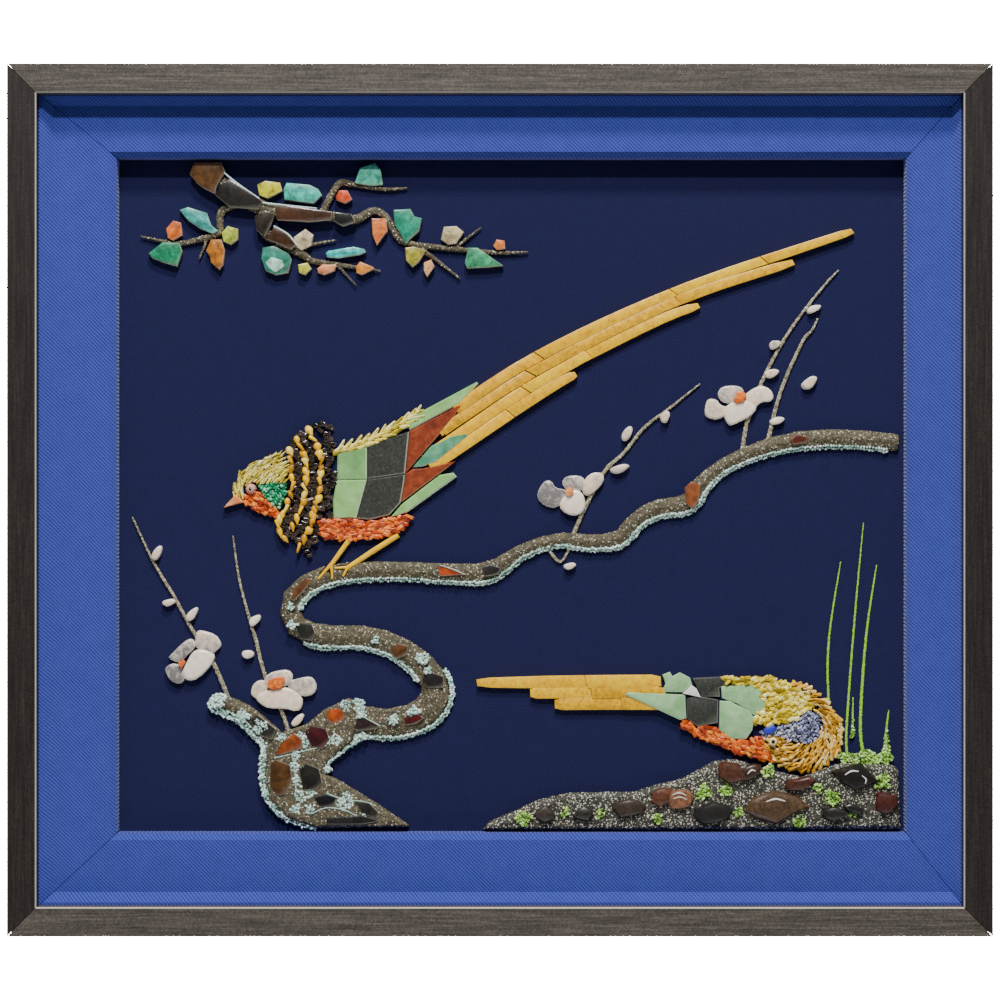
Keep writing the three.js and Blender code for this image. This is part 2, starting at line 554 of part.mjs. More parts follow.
// Rocky bank: a low mound of grit with larger stones in it, each given by place, length and width
const pebbles = [[74, -195.6, 20, 11.4], [94.5, -189, 15, 12.5], [105, -190, 16.4, 13.8], [139.6, -173.2, 20, 13],
  [165.5, -194.6, 34, 18.8], [126, -198.8, 22.6, 13.8], [180.6, -180.4, 17.6, 9], [215.7, -176.6, 25, 15.6],
  [202.2, -199, 16.4, 8], [234, -192.9, 14.6, 15], [21, -199, 12.6, 9.4], [45.6, -198.6, 11.4, 8]];
setStone('rocky_bank', 'rock', (grow) => {
  const mound = drawn([[-17.6, -209.4], [-14.4, -205], [1.9, -198.1], [15.7, -191.5], [36.1, -186.6],
    [76.9, -186.1], [90.3, -181.8], [107, -177.9], [127.3, -166.6], [141.1, -165.6], [162.4, -172.4],
    [181.8, -176.6], [207.5, -167.6], [238.9, -168.8], [242.6, -172.4], [243.9, -209.4]]);
  const solids = [tile(mound, bankHeight, 2.4, grow)];
  for (const [x, y, length, width] of pebbles) {
    solids.push(pebble(chipOutline(x, y, length, width, 6 * Math.sin(x), 0.1, 7), pebbleHeight, grow, 2));
  }
  return join(solids);
});

const paint = (color, roughness) => new THREE.MeshStandardMaterial({ color, roughness, metalness: 0 });
const looks = {
  jade: [0x9fbf9c, 0.3], slate: [0x4a4f4c, 0.35], jasper: [0xa63a22, 0.3], rose: [0xd9a79a, 0.3],
  orange: [0xe58f4f, 0.35], malachite: [0x2f7a5a, 0.4], straw: [0xe6d27a, 0.4], carnelian: [0xd2552a, 0.35],
  obsidian: [0x2b2926, 0.3], gold: [0xd9a23a, 0.4], honey: [0xe0a13c, 0.35], lapis: [0x6b76a8, 0.4],
  citrine: [0xd8bf45, 0.4], quartz: [0xe6cfc3, 0.35], bark: [0x5d4a38, 0.85], turquoise: [0x5fc0b4, 0.35],
  rock: [0x3b3934, 0.7], moss: [0xb5d95a, 0.8],
};

// The picture lies face up in its own frame, and is then stood up against the wall
const picture = new THREE.Group();
picture.rotation.x = Math.PI / 2;

function addPiece(name, geometry, material, x = 0, y = 0, z = 0) {
  const mesh = new THREE.Mesh(geometry, material);
  mesh.name = name;
  mesh.position.set(x, y, z);
  picture.add(mesh);
}

for (const { name, look, solid } of set) {
  addPiece(name, geometryOf(solid), paint(...looks[look]), sightX, sightZ, panelFront);
}

// Petals differ in height, so a blossom's centre stone rests on top of the highest
blossoms.forEach(({ centre: [x, y, length, width] }, k) => {
  const stone = pebble(chipOutline(x, y, length, width, 20, 0, 8), centreHeight, 0, 2);
  addPiece(`blossom_centre_${k + 1}`, geometryOf(stone), paint(0xe0762a, 0.4), sightX, sightZ,
    panelFront + petalHeight + fitGap);
});

// A mitred rail along one side: shares run from the outer edge, 0, to the inner edge, 1
const mitreGap = fitGap * Math.SQRT1_2;

function mitredRail(side, profile, width, height, faces) {
  const corner = (sx, sy, share) => [
    sx * (width / 2 - share * (sx > 0 ? faces.right : faces.left)),
    sy * (height / 2 - share * (sy > 0 ? faces.top : faces.bottom)),
  ];
  const ends = { top: [[-1, 1], [1, 1]], bottom: [[-1, -1], [1, -1]], left: [[-1, -1], [-1, 1]],
    right: [[1, -1], [1, 1]] }[side];
  const upright = side === 'left' || side === 'right';
  const rings = ends.map(([sx, sy]) => profile.map(([share, level]) => {
    const [x, y] = corner(sx, sy, share);
    return new THREE.Vector3(x - (upright ? 0 : sx * mitreGap), y - (upright ? sy * mitreGap : 0), level);
  }));
  return loft(rings, profile.map(([share, level]) => new THREE.Vector2(share * 100, level)));
}

const rebateShare = (frameFace - rebateWidth) / frameFace;
const arrisShare = frameArris / frameFace;
const lipBack = frameDepth - lipThickness;
const frameProfile = [[0, 0], [rebateShare, 0], [rebateShare, lipBack], [1, lipBack],
  [1, frameDepth - frameArris], [1 - arrisShare, frameDepth], [arrisShare, frameDepth],
  [0, frameDepth - frameArris]];
const frameFaces = { left: frameFace, right: frameFace, top: frameFace, bottom: frameFace };
const linerHidden = rebateWidth - fitGap;
const linerFaces = { left: linerLeft + linerHidden, right: linerRight + linerHidden, top: linerTop + linerHidden,
  bottom: linerBottom + linerHidden };
const linerProfile = [[0, linerBack], [0, linerRim], [0.13, linerRim], [0.25, linerFlat], [0.92, linerFlat],
  [1, linerFlat - linerLipDrop], [1, linerBack]];
const insideWidth = openingWidth + 2 * linerHidden;
const insideHeight = openingHeight + 2 * linerHidden;
const frameWood = paint(0x3b2f2a, 0.45);
const linerCloth = paint(0x4a68b0, 0.9);
for (const side of ['top', 'bottom', 'left', 'right']) {
  addPiece(`frame_rail_${side}`, mitredRail(side, frameProfile, frameWidth, frameHeight, frameFaces), frameWood);
  addPiece(`liner_rail_${side}`, mitredRail(side, linerProfile, insideWidth, insideHeight, linerFaces), linerCloth);
}

const panel = new THREE.BoxGeometry(pictureWidth + 2 * panelLap, pictureHeight + 2 * panelLap, panelThickness);
addPiece('picture_panel', panel, paint(0x1c2148, 0.95), sightX, sightZ, panelBack + panelThickness / 2);
const backing = new THREE.BoxGeometry(insideWidth, insideHeight, backingThickness);
addPiece('backing_board', backing, paint(0x8a7358, 0.9), 0, 0, backingThickness / 2);

const part = new THREE.Group();
part.add(picture);
export default part;
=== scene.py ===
import math
import random

import bpy
from mathutils import Matrix, Vector


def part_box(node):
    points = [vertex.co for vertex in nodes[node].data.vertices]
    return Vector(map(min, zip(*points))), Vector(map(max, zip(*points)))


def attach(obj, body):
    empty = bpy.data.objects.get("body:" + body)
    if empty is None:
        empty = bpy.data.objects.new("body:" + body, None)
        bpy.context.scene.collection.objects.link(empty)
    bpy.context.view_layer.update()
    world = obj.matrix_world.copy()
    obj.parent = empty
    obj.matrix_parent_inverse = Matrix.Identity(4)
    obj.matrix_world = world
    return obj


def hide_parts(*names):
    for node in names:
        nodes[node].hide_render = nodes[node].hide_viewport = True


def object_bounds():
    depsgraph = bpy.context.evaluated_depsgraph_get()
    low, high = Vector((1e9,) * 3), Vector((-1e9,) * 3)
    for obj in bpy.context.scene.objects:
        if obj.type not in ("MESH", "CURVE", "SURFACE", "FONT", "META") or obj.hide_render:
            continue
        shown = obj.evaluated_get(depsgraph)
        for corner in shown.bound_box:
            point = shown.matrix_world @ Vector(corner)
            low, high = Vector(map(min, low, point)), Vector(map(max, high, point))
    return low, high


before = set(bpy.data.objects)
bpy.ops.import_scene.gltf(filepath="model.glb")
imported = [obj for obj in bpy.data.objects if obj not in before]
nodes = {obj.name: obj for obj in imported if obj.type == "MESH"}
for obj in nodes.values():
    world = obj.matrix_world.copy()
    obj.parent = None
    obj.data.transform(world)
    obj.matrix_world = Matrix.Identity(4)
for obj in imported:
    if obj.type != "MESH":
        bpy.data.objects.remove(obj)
cadLow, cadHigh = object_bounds()
random.seed(11)

mm = 0.001
panelLow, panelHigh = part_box("picture_panel")
fieldX = (panelLow[0] + panelHigh[0]) / 2  # the drawing is measured from the middle of the cloth field
fieldZ = (panelLow[2] + panelHigh[2]) / 2
fieldY = panelLow[1]


def spot(x, z, height=0.0):
    return Vector((fieldX + x * mm, fieldY - height * mm, fieldZ + z * mm))


# materials, each named for the real one

def linear(hexColour):
    parts = [int(hexColour[i:i + 2], 16) / 255 for i in (0, 2, 4)]
    return tuple(p / 12.92 if p <= 0.04045 else ((p + 0.055) / 1.055) ** 2.4 for p in parts) + (1.0,)


def addNode(tree, kind, settings=None, links=None):
    made = tree.nodes.new("ShaderNode" + kind)
    for key, value in (settings or {}).items():
        if isinstance(key, int) or key in made.inputs:
            made.inputs[key].default_value = value
        else:
            setattr(made, key, value)
    for key, (source, output) in (links or {}).items():
        tree.links.new(source.outputs[output], made.inputs[key])
    return made


def startLook(name, roughness, ior=1.5):
    look = bpy.data.materials.new(name)
    look.use_nodes = True
    tree = look.node_tree
    shader = next(n for n in tree.nodes if n.type == "BSDF_PRINCIPLED")
    shader.inputs["Roughness"].default_value = roughness
    shader.inputs["IOR"].default_value = ior
    return look, tree, shader


def fillRamp(ramp, stops):
    while len(ramp.color_ramp.elements) < len(stops):
        ramp.color_ramp.elements.new(0.5)
    for element, (place, hexColour) in zip(ramp.color_ramp.elements, stops):
        element.position = place
        element.color = linear(hexColour)


def stoneLook(name, stops, grainMm, roughness=0.3, bumpMm=0.15, byChip=False, sparkle=0.0, rim=None, ior=1.55):
    look, tree, shader = startLook(name, roughness, ior)
    coords = addNode(tree, "TexCoord")
    grain = addNode(tree, "TexNoise", {"Scale": 1 / (grainMm * mm), "Detail": 5.0, "Roughness": 0.62,
                                       "Distortion": 0.6}, {"Vector": (coords, "Object")})
    source, output = grain, 0
    if byChip:  # each chip has a shade of its own, and a little grain in it
        shade = addNode(tree, "Attribute", {"attribute_name": "tone"})
        soft = addNode(tree, "Math", {"operation": "MULTIPLY_ADD", 1: 1.2, 2: -0.6}, {0: (grain, 0)})
        source = addNode(tree, "Math", {"operation": "ADD"}, {0: (shade, "Fac"), 1: (soft, 0)})
    ramp = addNode(tree, "ValToRGB", None, {0: (source, output)})
    fillRamp(ramp, stops)
    fine = addNode(tree, "TexNoise", {"Scale": 1 / (grainMm * 0.22 * mm), "Detail": 2.0},
                   {"Vector": (coords, "Object")})
    gloss = addNode(tree, "MapRange", {"To Min": roughness * 0.75, "To Max": min(1.0, roughness * 1.35)},
                    {"Value": (fine, 0)})
    tree.links.new(gloss.outputs[0], shader.inputs["Roughness"])
    colour = (ramp, 0)
    # painted glints: a few random cells of the grit take a pale colour where mica and glass would flash
    if sparkle > 0:  # loose mica and crushed glass flash between dull grains
        cells = addNode(tree, "TexVoronoi", {"Scale": 1 / (0.62 * mm)}, {"Vector": (coords, "Object")})
        parts = addNode(tree, "SeparateColor", None, {0: (cells, "Color")})
        flash = addNode(tree, "Math", {"operation": "GREATER_THAN", 1: 1 - sparkle}, {0: (parts, 0)})
        shades = addNode(tree, "MapRange", {"To Min": 0.4, "To Max": 1.7}, {"Value": (parts, 1)})
        grains = addNode(tree, "VectorMath", {"operation": "SCALE"}, {0: (ramp, 0), "Scale": (shades, 0)})
        colour = (addNode(tree, "Mix", {"data_type": "RGBA", 7: linear("dcd8c2")},
                          {0: (flash, 0), 6: (grains, 0)}), 2)
    # painted highlight: a pale colour mixed onto the faces that turn away from the lamps
    if rim:  # light that enters a translucent stone leaves it at the rim, most on the side away from the lamps
        facing = addNode(tree, "NewGeometry")
        side = addNode(tree, "VectorMath", {"operation": "DOT_PRODUCT", 1: rim["away"]}, {0: (facing, "Normal")})
        share = addNode(tree, "MapRange", {"From Min": -0.9, "From Max": -0.35, "To Max": rim["strength"]},
                        {"Value": (side, "Value")})
        colour = (addNode(tree, "Mix", {"data_type": "RGBA", 7: linear(rim["colour"])},
                          {0: (share, 0), 6: colour}), 2)
    tree.links.new(colour[0].outputs[colour[1]], shader.inputs["Base Color"])
    bump = addNode(tree, "Bump", {"Strength": 0.5, "Distance": bumpMm * mm}, {"Height": (fine, 0)})
    tree.links.new(bump.outputs[0], shader.inputs["Normal"])
    return look


# painted highlights on the rim faces: most on the lower right sides away from the lamps, or all round
paintedLowRimGlow = {"away": (0.45, 1.0, -0.6), "strength": 0.8}
paintedWholeRimGlow = {"away": (0.1, 1.0, -0.1), "strength": 0.75}
looks = {
    # nephrite, sawn flat and polished: cloudy green with a soft shine and a painted highlight on the rim
    "jadeMid": stoneLook("polishedGreenJade", [(0.3, "629654"), (0.5, "7cb06a"), (0.72, "98c884")], 14, 0.34,
                         rim={"colour": "d4ecbc", **paintedLowRimGlow}),
    "jadePale": stoneLook("polishedPaleJade", [(0.3, "78a85c"), (0.5, "8ec272"), (0.72, "aad88e")], 16, 0.34,
                          rim={"colour": "e2f4cf", **paintedLowRimGlow}),
    "jadeDeep": stoneLook("polishedSeaJade", [(0.3, "387856"), (0.5, "529672"), (0.75, "76b68e")], 9, 0.34,
                          rim={"colour": "c8ead2", **paintedLowRimGlow}),
    "jadeSoft": stoneLook("polishedGreyJade", [(0.3, "74a66a"), (0.5, "90be84"), (0.75, "acd4a0")], 9, 0.3,
                          rim={"colour": "d8f0dc", **paintedLowRimGlow}),
    # fine-grained slate, sawn and rubbed: near black with pale specks, and a painted highlight on the rim
    "slate": stoneLook("rubbedSlate", [(0.35, "20221d"), (0.55, "34362f"), (0.75, "525549")], 1.6, 0.42,
                       rim={"colour": "b9bba6", **paintedLowRimGlow}),
    # red jasper: dull brick red with darker clouds, and a painted highlight on the rim
    "jasper": stoneLook("polishedRedJasper", [(0.3, "62200e"), (0.5, "8a3618"), (0.75, "a65028")], 5, 0.36,
                        rim={"colour": "d08060", **paintedLowRimGlow}),
    # honey calcite strips: translucent amber with darker drifts, and a painted highlight on the rim
    "honey": stoneLook("honeyCalcite", [(0.1, "7c5400"), (0.38, "cc9400"), (0.62, "f6b800"), (0.9, "ffd800")], 3,
                       0.3, byChip=True, rim={"colour": "ffd040", **paintedLowRimGlow}),
    # yellow calcite: waxy yellow, each bead a little different; serpentine slivers are straw yellow, and the
    # golden scales run from amber to cream
    "yellow": stoneLook("yellowCalciteBeads", [(0.05, "a87400"), (0.35, "f0b000"), (0.7, "ffcc00"), (1.0, "ffe468")],
                        3, 0.32, byChip=True),
    "straw": stoneLook("paleSerpentineSlivers", [(0.05, "b4a024"), (0.35, "eeda50"), (0.7, "fff07c"), (1.0, "fffcc8")],
                       3, 0.34, byChip=True),
    "gold": stoneLook("goldenCalciteScales", [(0.05, "9a6a00"), (0.35, "e2a81c"), (0.65, "ffcc44"), (1.0, "fff0b0")],
                      3, 0.3, byChip=True),
    # carnelian chips: orange to brick red, some milky
    "carnelian": stoneLook("carnelianChips", [(0.05, "8e2600"), (0.35, "d24c00"), (0.7, "f27408"), (1.0, "f89a3c")],
                           2.2, 0.34, byChip=True),
    # obsidian and smoky shards: black brown, glassy, with a painted highlight on the rim; the palest tone is a painted
    # glint
    "obsidian": stoneLook("obsidianShards", [(0.15, "120d0a"), (0.5, "2a201a"), (0.8, "46342c"), (0.97, "b8aea4")],
                          2.5, 0.16, byChip=True, rim={"colour": "6e5c50", **paintedLowRimGlow}),
    # crushed malachite: bright green grains, barely polished
    "malachite": stoneLook("crushedMalachite", [(0.1, "006a3c"), (0.45, "1aac70"), (0.8, "4ccc98"), (1.0, "b0f0d0")],
                           1.4, 0.34, byChip=True),
    # sodalite and lapis: a greyed violet blue, and one chip of deep blue
    "lapis": stoneLook("sodaliteChips", [(0.1, "50526c"), (0.4, "7c7e9a"), (0.7, "989cc8"), (0.95, "e2dcd0")],
                       1.8, 0.3, byChip=True),
    "lapisDeep": stoneLook("lapisChip", [(0.3, "1c24a4"), (0.6, "343cc8"), (0.9, "7078e0")], 1.8, 0.3),
    # citrine chips: clear lemon yellow with a glassy shine
    "citrine": stoneLook("citrineMosaic", [(0.05, "a08800"), (0.35, "dcbe00"), (0.7, "f6de38"), (1.0, "fcf4a4")],
                         2.2, 0.2, byChip=True),
    # rose quartz and clear quartz chips: milky pink to glassy grey, wet shine, and a painted highlight all round the
    # rim
    "quartz": stoneLook("tumbledRoseQuartz", [(0.1, "7c7876"), (0.35, "c8bcb0"), (0.58, "fadcbe"), (0.88, "fff8e6")],
                        4, 0.2, 0.3, byChip=True, rim={"colour": "fbf3ea", **paintedWholeRimGlow}),
    # agate: orange, peach and pink with soft clouds, and polished black onyx for the pupils
    "orange": stoneLook("orangeAgate", [(0.3, "c24408"), (0.5, "ea6c18"), (0.75, "f8a860")], 3, 0.3),
    "peach": stoneLook("peachAgate", [(0.3, "d07030"), (0.5, "ea9858"), (0.75, "f8cca0")], 4, 0.3),
    "rose": stoneLook("pinkAgateEye", [(0.3, "b87868"), (0.5, "e0a494"), (0.75, "f4d0c0")], 2, 0.22),
    "pupil": stoneLook("blackOnyx", [(0.3, "1c0e0a"), (0.6, "3a1a12"), (0.9, "5c3424")], 1, 0.15),
    # white agate, thin and flat
    "white": stoneLook("whiteAgate", [(0.3, "d8d4ca"), (0.5, "ece8e0"), (0.75, "faf8f4")], 3, 0.25),
    # bark of glued grit: brown grains with painted glints of mica
    "bark": stoneLook("brownMicaGrit", [(0.25, "272114"), (0.5, "504832"), (0.75, "7a7054")], 2.4, 0.72, 0.5,
                      sparkle=0.045),
    # the same grit on the twigs is paler, and on the bank it is black with more painted glints
    "twig": stoneLook("paleMicaGrit", [(0.25, "544e3c"), (0.5, "8c8468"), (0.75, "b6b094")], 1.6, 0.75, 0.4,
                      sparkle=0.12),
    "rock": stoneLook("blackMicaGrit", [(0.25, "12100c"), (0.5, "302d24"), (0.75, "605c4c")], 1.8, 0.66, 0.5,
                      sparkle=0.13),
    # crushed turquoise: pale green-blue crumbs
    "turquoise": stoneLook("crushedTurquoise", [(0.1, "8cb8a8"), (0.4, "bce0d2"), (0.7, "d8f2e8"), (0.95, "f4fffa")],
                           1.4, 0.6, byChip=True),
    # crushed serpentine for moss, and a line of dyed lime grit for grass: dull, fresh green
    "moss": stoneLook("crushedSerpentine", [(0.1, "567e20"), (0.4, "88bc40"), (0.7, "aeda62"), (0.95, "e0f4ac")],
                      1.2, 0.65, byChip=True),
    "lime": stoneLook("limeGritLine", [(0.25, "62a004"), (0.5, "92d418"), (0.75, "c0f050")], 1.2, 0.7, 0.4),
}


def gemLook(name, hexColour, grainMm=6, roughness=0.24, rim=0.5):
    # one polished stone of its own colour, darker and lighter by a third in its clouds, with a painted highlight of
    # the given strength on the rim
    base = [int(hexColour[i:i + 2], 16) for i in (0, 2, 4)]
    shades = ["".join("%02x" % min(255, int(c * f)) for c in base) for f in (0.62, 1.0, 1.38)]
    return stoneLook(name, [(0.3, shades[0]), (0.5, shades[1]), (0.74, shades[2])], grainMm, roughness,
                     rim={"colour": "e8dcc8", **paintedLowRimGlow, "strength": rim})


def clothLook(name, threadHex, shadowHex, spacingMm, depthMm, diagonal):
    # woven cloth: two sets of raised threads, matt with a faint pile
    look, tree, shader = startLook(name, 0.85, 1.45)
    shader.inputs["Sheen Weight"].default_value = 0.25
    shader.inputs["Sheen Roughness"].default_value = 0.5
    shader.inputs["Specular IOR Level"].default_value = 0.2
    coords = addNode(tree, "TexCoord")
    waves = []
    for angle in ((45, -45) if diagonal else (0, 90)):
        turned = addNode(tree, "Mapping", {"Rotation": (0, math.radians(angle), 0)}, {"Vector": (coords, "Object")})
        waves.append(addNode(tree, "TexWave", {"wave_type": "BANDS", "bands_direction": "X",
                                               "Scale": 0.314 / (spacingMm * mm), "Distortion": 0.5,
                                               "Detail": 1.0, "Detail Scale": 2.0}, {"Vector": (turned, 0)}))
    weak = addNode(tree, "Math", {"operation": "MULTIPLY", 1: 0.55}, {0: (waves[1], "Fac")})
    height = addNode(tree, "Math", {"operation": "MAXIMUM"}, {0: (waves[0], "Fac"), 1: (weak, 0)})
    slub = addNode(tree, "TexNoise", {"Scale": 1 / (9 * mm), "Detail": 4.0}, {"Vector": (coords, "Object")})
    fine = addNode(tree, "TexNoise", {"Scale": 1 / (0.7 * mm), "Detail": 2.0}, {"Vector": (coords, "Object")})
    mixed = addNode(tree, "Math", {"operation": "MULTIPLY_ADD", 1: 0.6, 2: -0.3}, {0: (fine, 0)})
    total = addNode(tree, "Math", {"operation": "ADD"}, {0: (height, 0), 1: (mixed, 0)})
    drift = addNode(tree, "Math", {"operation": "MULTIPLY_ADD", 1: 0.3, 2: -0.15}, {0: (slub, 0)})
    sums = addNode(tree, "Math", {"operation": "ADD", "use_clamp": True}, {0: (total, 0), 1: (drift, 0)})
    ramp = addNode(tree, "ValToRGB", None, {0: (sums, 0)})
    fillRamp(ramp, [(0.0, shadowHex), (1.0, threadHex)])
    tree.links.new(ramp.outputs[0], shader.inputs["Base Color"])
    bump = addNode(tree, "Bump", {"Strength": 0.6, "Distance": depthMm * mm}, {"Height": (total, 0)})
    tree.links.new(bump.outputs[0], shader.inputs["Normal"])
    return look


def woodLook(name, stops, along, roughness, paintedArrisHighlight=None):
    # wood: fine lines of grain along the rail under a thin satin varnish
    look, tree, shader = startLook(name, roughness, 1.5)
    coords = addNode(tree, "TexCoord")
    stretch = (0.035, 1, 1) if along == "X" else (1, 1, 0.035)
    laid = addNode(tree, "Mapping", {"Scale": stretch}, {"Vector": (coords, "Object")})
    grain = addNode(tree, "TexNoise", {"Scale": 1 / (1.2 * mm), "Detail": 7.0, "Roughness": 0.7},
                    {"Vector": (laid, 0)})
    pores = addNode(tree, "TexNoise", {"Scale": 1 / (1.1 * mm), "Detail": 2.0}, {"Vector": (coords, "Object")})
    both = addNode(tree, "Math", {"operation": "MULTIPLY_ADD", 1: 0.6}, {0: (pores, 0), 2: (grain, 0)})
    level = addNode(tree, "MapRange", {"From Min": 0.5, "From Max": 1.1}, {"Value": (both, 0)})
    ramp = addNode(tree, "ValToRGB", None, {0: (level, 0)})
    fillRamp(ramp, stops)
    colour = (ramp, 0)
    if paintedArrisHighlight:  # painted highlight: a pale colour on the sloped faces of the inner front edge, so that a pale line runs round the opening
        facing = addNode(tree, "NewGeometry")
        flat = addNode(tree, "VectorMath", {"operation": "MULTIPLY", 1: (1, 0, 1)}, {0: (coords, "Object")})
        inward = addNode(tree, "VectorMath", {"operation": "DOT_PRODUCT"}, {0: (flat, 0), 1: (facing, "Normal")})
        front = addNode(tree, "VectorMath", {"operation": "DOT_PRODUCT", 1: (0, -1, 0)}, {0: (facing, "Normal")})
        inner = addNode(tree, "Math", {"operation": "LESS_THAN", 1: -0.05}, {0: (inward, "Value")})
        sloped = addNode(tree, "Math", {"operation": "GREATER_THAN", 1: 0.3}, {0: (front, "Value")})
        edge = addNode(tree, "Math", {"operation": "MULTIPLY"}, {0: (inner, 0), 1: (sloped, 0)})
        colour = (addNode(tree, "Mix", {"data_type": "RGBA", 7: linear(paintedArrisHighlight)}, {0: (edge, 0), 6: (ramp, 0)}), 2)
    tree.links.new(colour[0].outputs[colour[1]], shader.inputs["Base Color"])
    gloss = addNode(tree, "MapRange", {"To Min": roughness * 0.8, "To Max": roughness * 1.3}, {"Value": (grain, 0)})
    tree.links.new(gloss.outputs[0], shader.inputs["Roughness"])
    bump = addNode(tree, "Bump", {"Strength": 0.3, "Distance": 0.1 * mm}, {"Height": (both, 0)})
    tree.links.new(bump.outputs[0], shader.inputs["Normal"])
    return look


frameWood = {"roughness": 0.42, "paintedArrisHighlight": "b3aca2"}
# the top and bottom rails get a paler grey than the side rails: a painted sheen of the lamps above on the same dark
# wood
frameAcrossPaintedSheen = woodLook("darkVarnishedWoodAcrossPaintedSheen", [(0.1, "302b26"), (0.5, "4c463f"), (0.9, "6a6259")], "X",
                       **frameWood)
frameUp = woodLook("darkVarnishedWoodUp", [(0.1, "130e0c"), (0.5, "221b18"), (0.9, "342b25")], "Z", **frameWood)
board = woodLook("rawHardboard", [(0.1, "6b5640"), (0.5, "80694f"), (0.9, "96805f")], "X", 0.8)
# the threads are drawn a little coarser than the real weave, so that they still show
blueTwill = clothLook("royalBlueTwill", "4552b0", "1a2478", 1.7, 0.35, True)
navyWeave = clothLook("navyPlainWeave", "11154e", "050620", 1.5, 0.3, True)


def dress(look, *names):
    for name in names:
        node = nodes[name]
        node.data.materials.clear()
        node.data.materials.append(look)


dress(frameAcrossPaintedSheen, "frame_rail_top", "frame_rail_bottom")
dress(frameUp, "frame_rail_left", "frame_rail_right")
dress(blueTwill, "liner_rail_top", "liner_rail_bottom", "liner_rail_left", "liner_rail_right")
dress(navyWeave, "picture_panel")
dress(board, "backing_board")
dress(looks["jadeMid"], "standing_wing_tile_1")
dress(looks["jadePale"], "standing_wing_tile_2", "standing_wing_tile_5", "standing_wing_tile_9")
dress(looks["jadeDeep"], "standing_wing_tile_7")
dress(looks["slate"], "standing_wing_tile_3", "standing_wing_tile_4")
dress(looks["jasper"], "standing_wing_tile_6", "standing_wing_tile_8")
dress(looks["rose"], "standing_eye")
dress(looks["peach"], "standing_beak")
print("cloth, wood and flat tiles are dressed")


# helpers for the modelling

def clearPicks():
    if bpy.context.mode != "OBJECT":
        bpy.ops.object.mode_set(mode="OBJECT")
    bpy.ops.object.select_all(action="DESELECT")


def pickFaces(piece, test):
    bpy.ops.object.mode_set(mode="OBJECT")
    for part in (piece.data.vertices, piece.data.edges, piece.data.polygons):
        part.foreach_set("select", [False] * len(part))
    for face in piece.data.polygons:
        face.select = test(face.center, face.normal)
    bpy.ops.object.mode_set(mode="EDIT")
    bpy.ops.mesh.select_mode(type="FACE")


def finishPiece(piece, name, look, node=None, smooth=40):
    clearPicks()
    piece.select_set(True)
    bpy.context.view_layer.objects.active = piece
    bpy.ops.object.transform_apply(location=True, rotation=True, scale=True)
    if smooth:
        bpy.ops.object.shade_smooth_by_angle(angle=math.radians(smooth))
    piece.name = name
    piece.data.name = name
    piece.data.materials.clear()
    piece.data.materials.append(look)
    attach(piece, "root")
    if node:
        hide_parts(node)
    return piece


def cutStone(outline, height, base=0.3, bevel=0.6, dome=0, keep=0.82):
    # a flat outline raised off the cloth: with a bevelled edge, or domed in a few steps
    clearPicks()
    bpy.ops.mesh.primitive_circle_add(vertices=len(outline), radius=0.01, fill_type="NGON")
    stone = bpy.context.object
    for vertex, (x, z) in zip(stone.data.vertices, outline):
        vertex.co = spot(x, z, base)
    middle = sum((v.co for v in stone.data.vertices), Vector()) / len(outline)
    bpy.ops.object.mode_set(mode="EDIT")
    bpy.ops.mesh.select_all(action="SELECT")
    if dome:
        turn = math.radians(90) / dome
        for k in range(dome):
            rise = math.sin(turn * (k + 1)) - math.sin(turn * k)
            shrink = (keep + (1 - keep) * math.cos(turn * (k + 1))) / (keep + (1 - keep) * math.cos(turn * k))
            if k == dome - 1:
                shrink *= 0.9
            bpy.ops.mesh.extrude_region_move(TRANSFORM_OT_translate={"value": (0, -height * rise * mm, 0)})
            bpy.ops.transform.resize(value=(shrink, 1, shrink), center_override=middle)
    else:
        bpy.ops.mesh.extrude_region_move(TRANSFORM_OT_translate={"value": (0, -height * mm, 0)})
        bpy.ops.mesh.bevel(offset=bevel * mm, segments=2, affect="EDGES")
    bpy.ops.mesh.select_all(action="SELECT")
    bpy.ops.mesh.normals_make_consistent(inside=False)
    clearPicks()
    return stone


def chipOutline(x, z, length, width, turn, tip, sides, wobble=0.08):
    angle = math.radians(turn)
    points = []
    for k in range(sides):
        a = k / sides * 2 * math.pi
        u = math.cos(a) * length / 2
        v = math.sin(a) * (1 - tip * (math.cos(a) + 1) * 0.42) * (1 + wobble * math.sin(3 * k + x)) * width / 2
        points.append((x + u * math.cos(angle) - v * math.sin(angle), z + u * math.sin(angle) + v * math.cos(angle)))
    return points


def rounded(outline, grow=1.0):
    # every corner is cut at a quarter of its sides, and the whole is grown about its middle
    middle = [sum(p[axis] for p in outline) / len(outline) for axis in (0, 1)]
    outline = [(middle[0] + (x - middle[0]) * grow, middle[1] + (z - middle[1]) * grow) for x, z in outline]
    out = []
    for (ax, az), (bx, bz) in zip(outline, outline[1:] + outline[:1]):
        out += [(ax * 0.75 + bx * 0.25, az * 0.75 + bz * 0.25), (ax * 0.25 + bx * 0.75, az * 0.25 + bz * 0.75)]
    return out


def joinAll(parts):
    clearPicks()
    for part in parts:
        part.select_set(True)
    bpy.context.view_layer.objects.active = parts[0]
    if len(parts) > 1:
        bpy.ops.object.join()
    return bpy.context.view_layer.objects.active


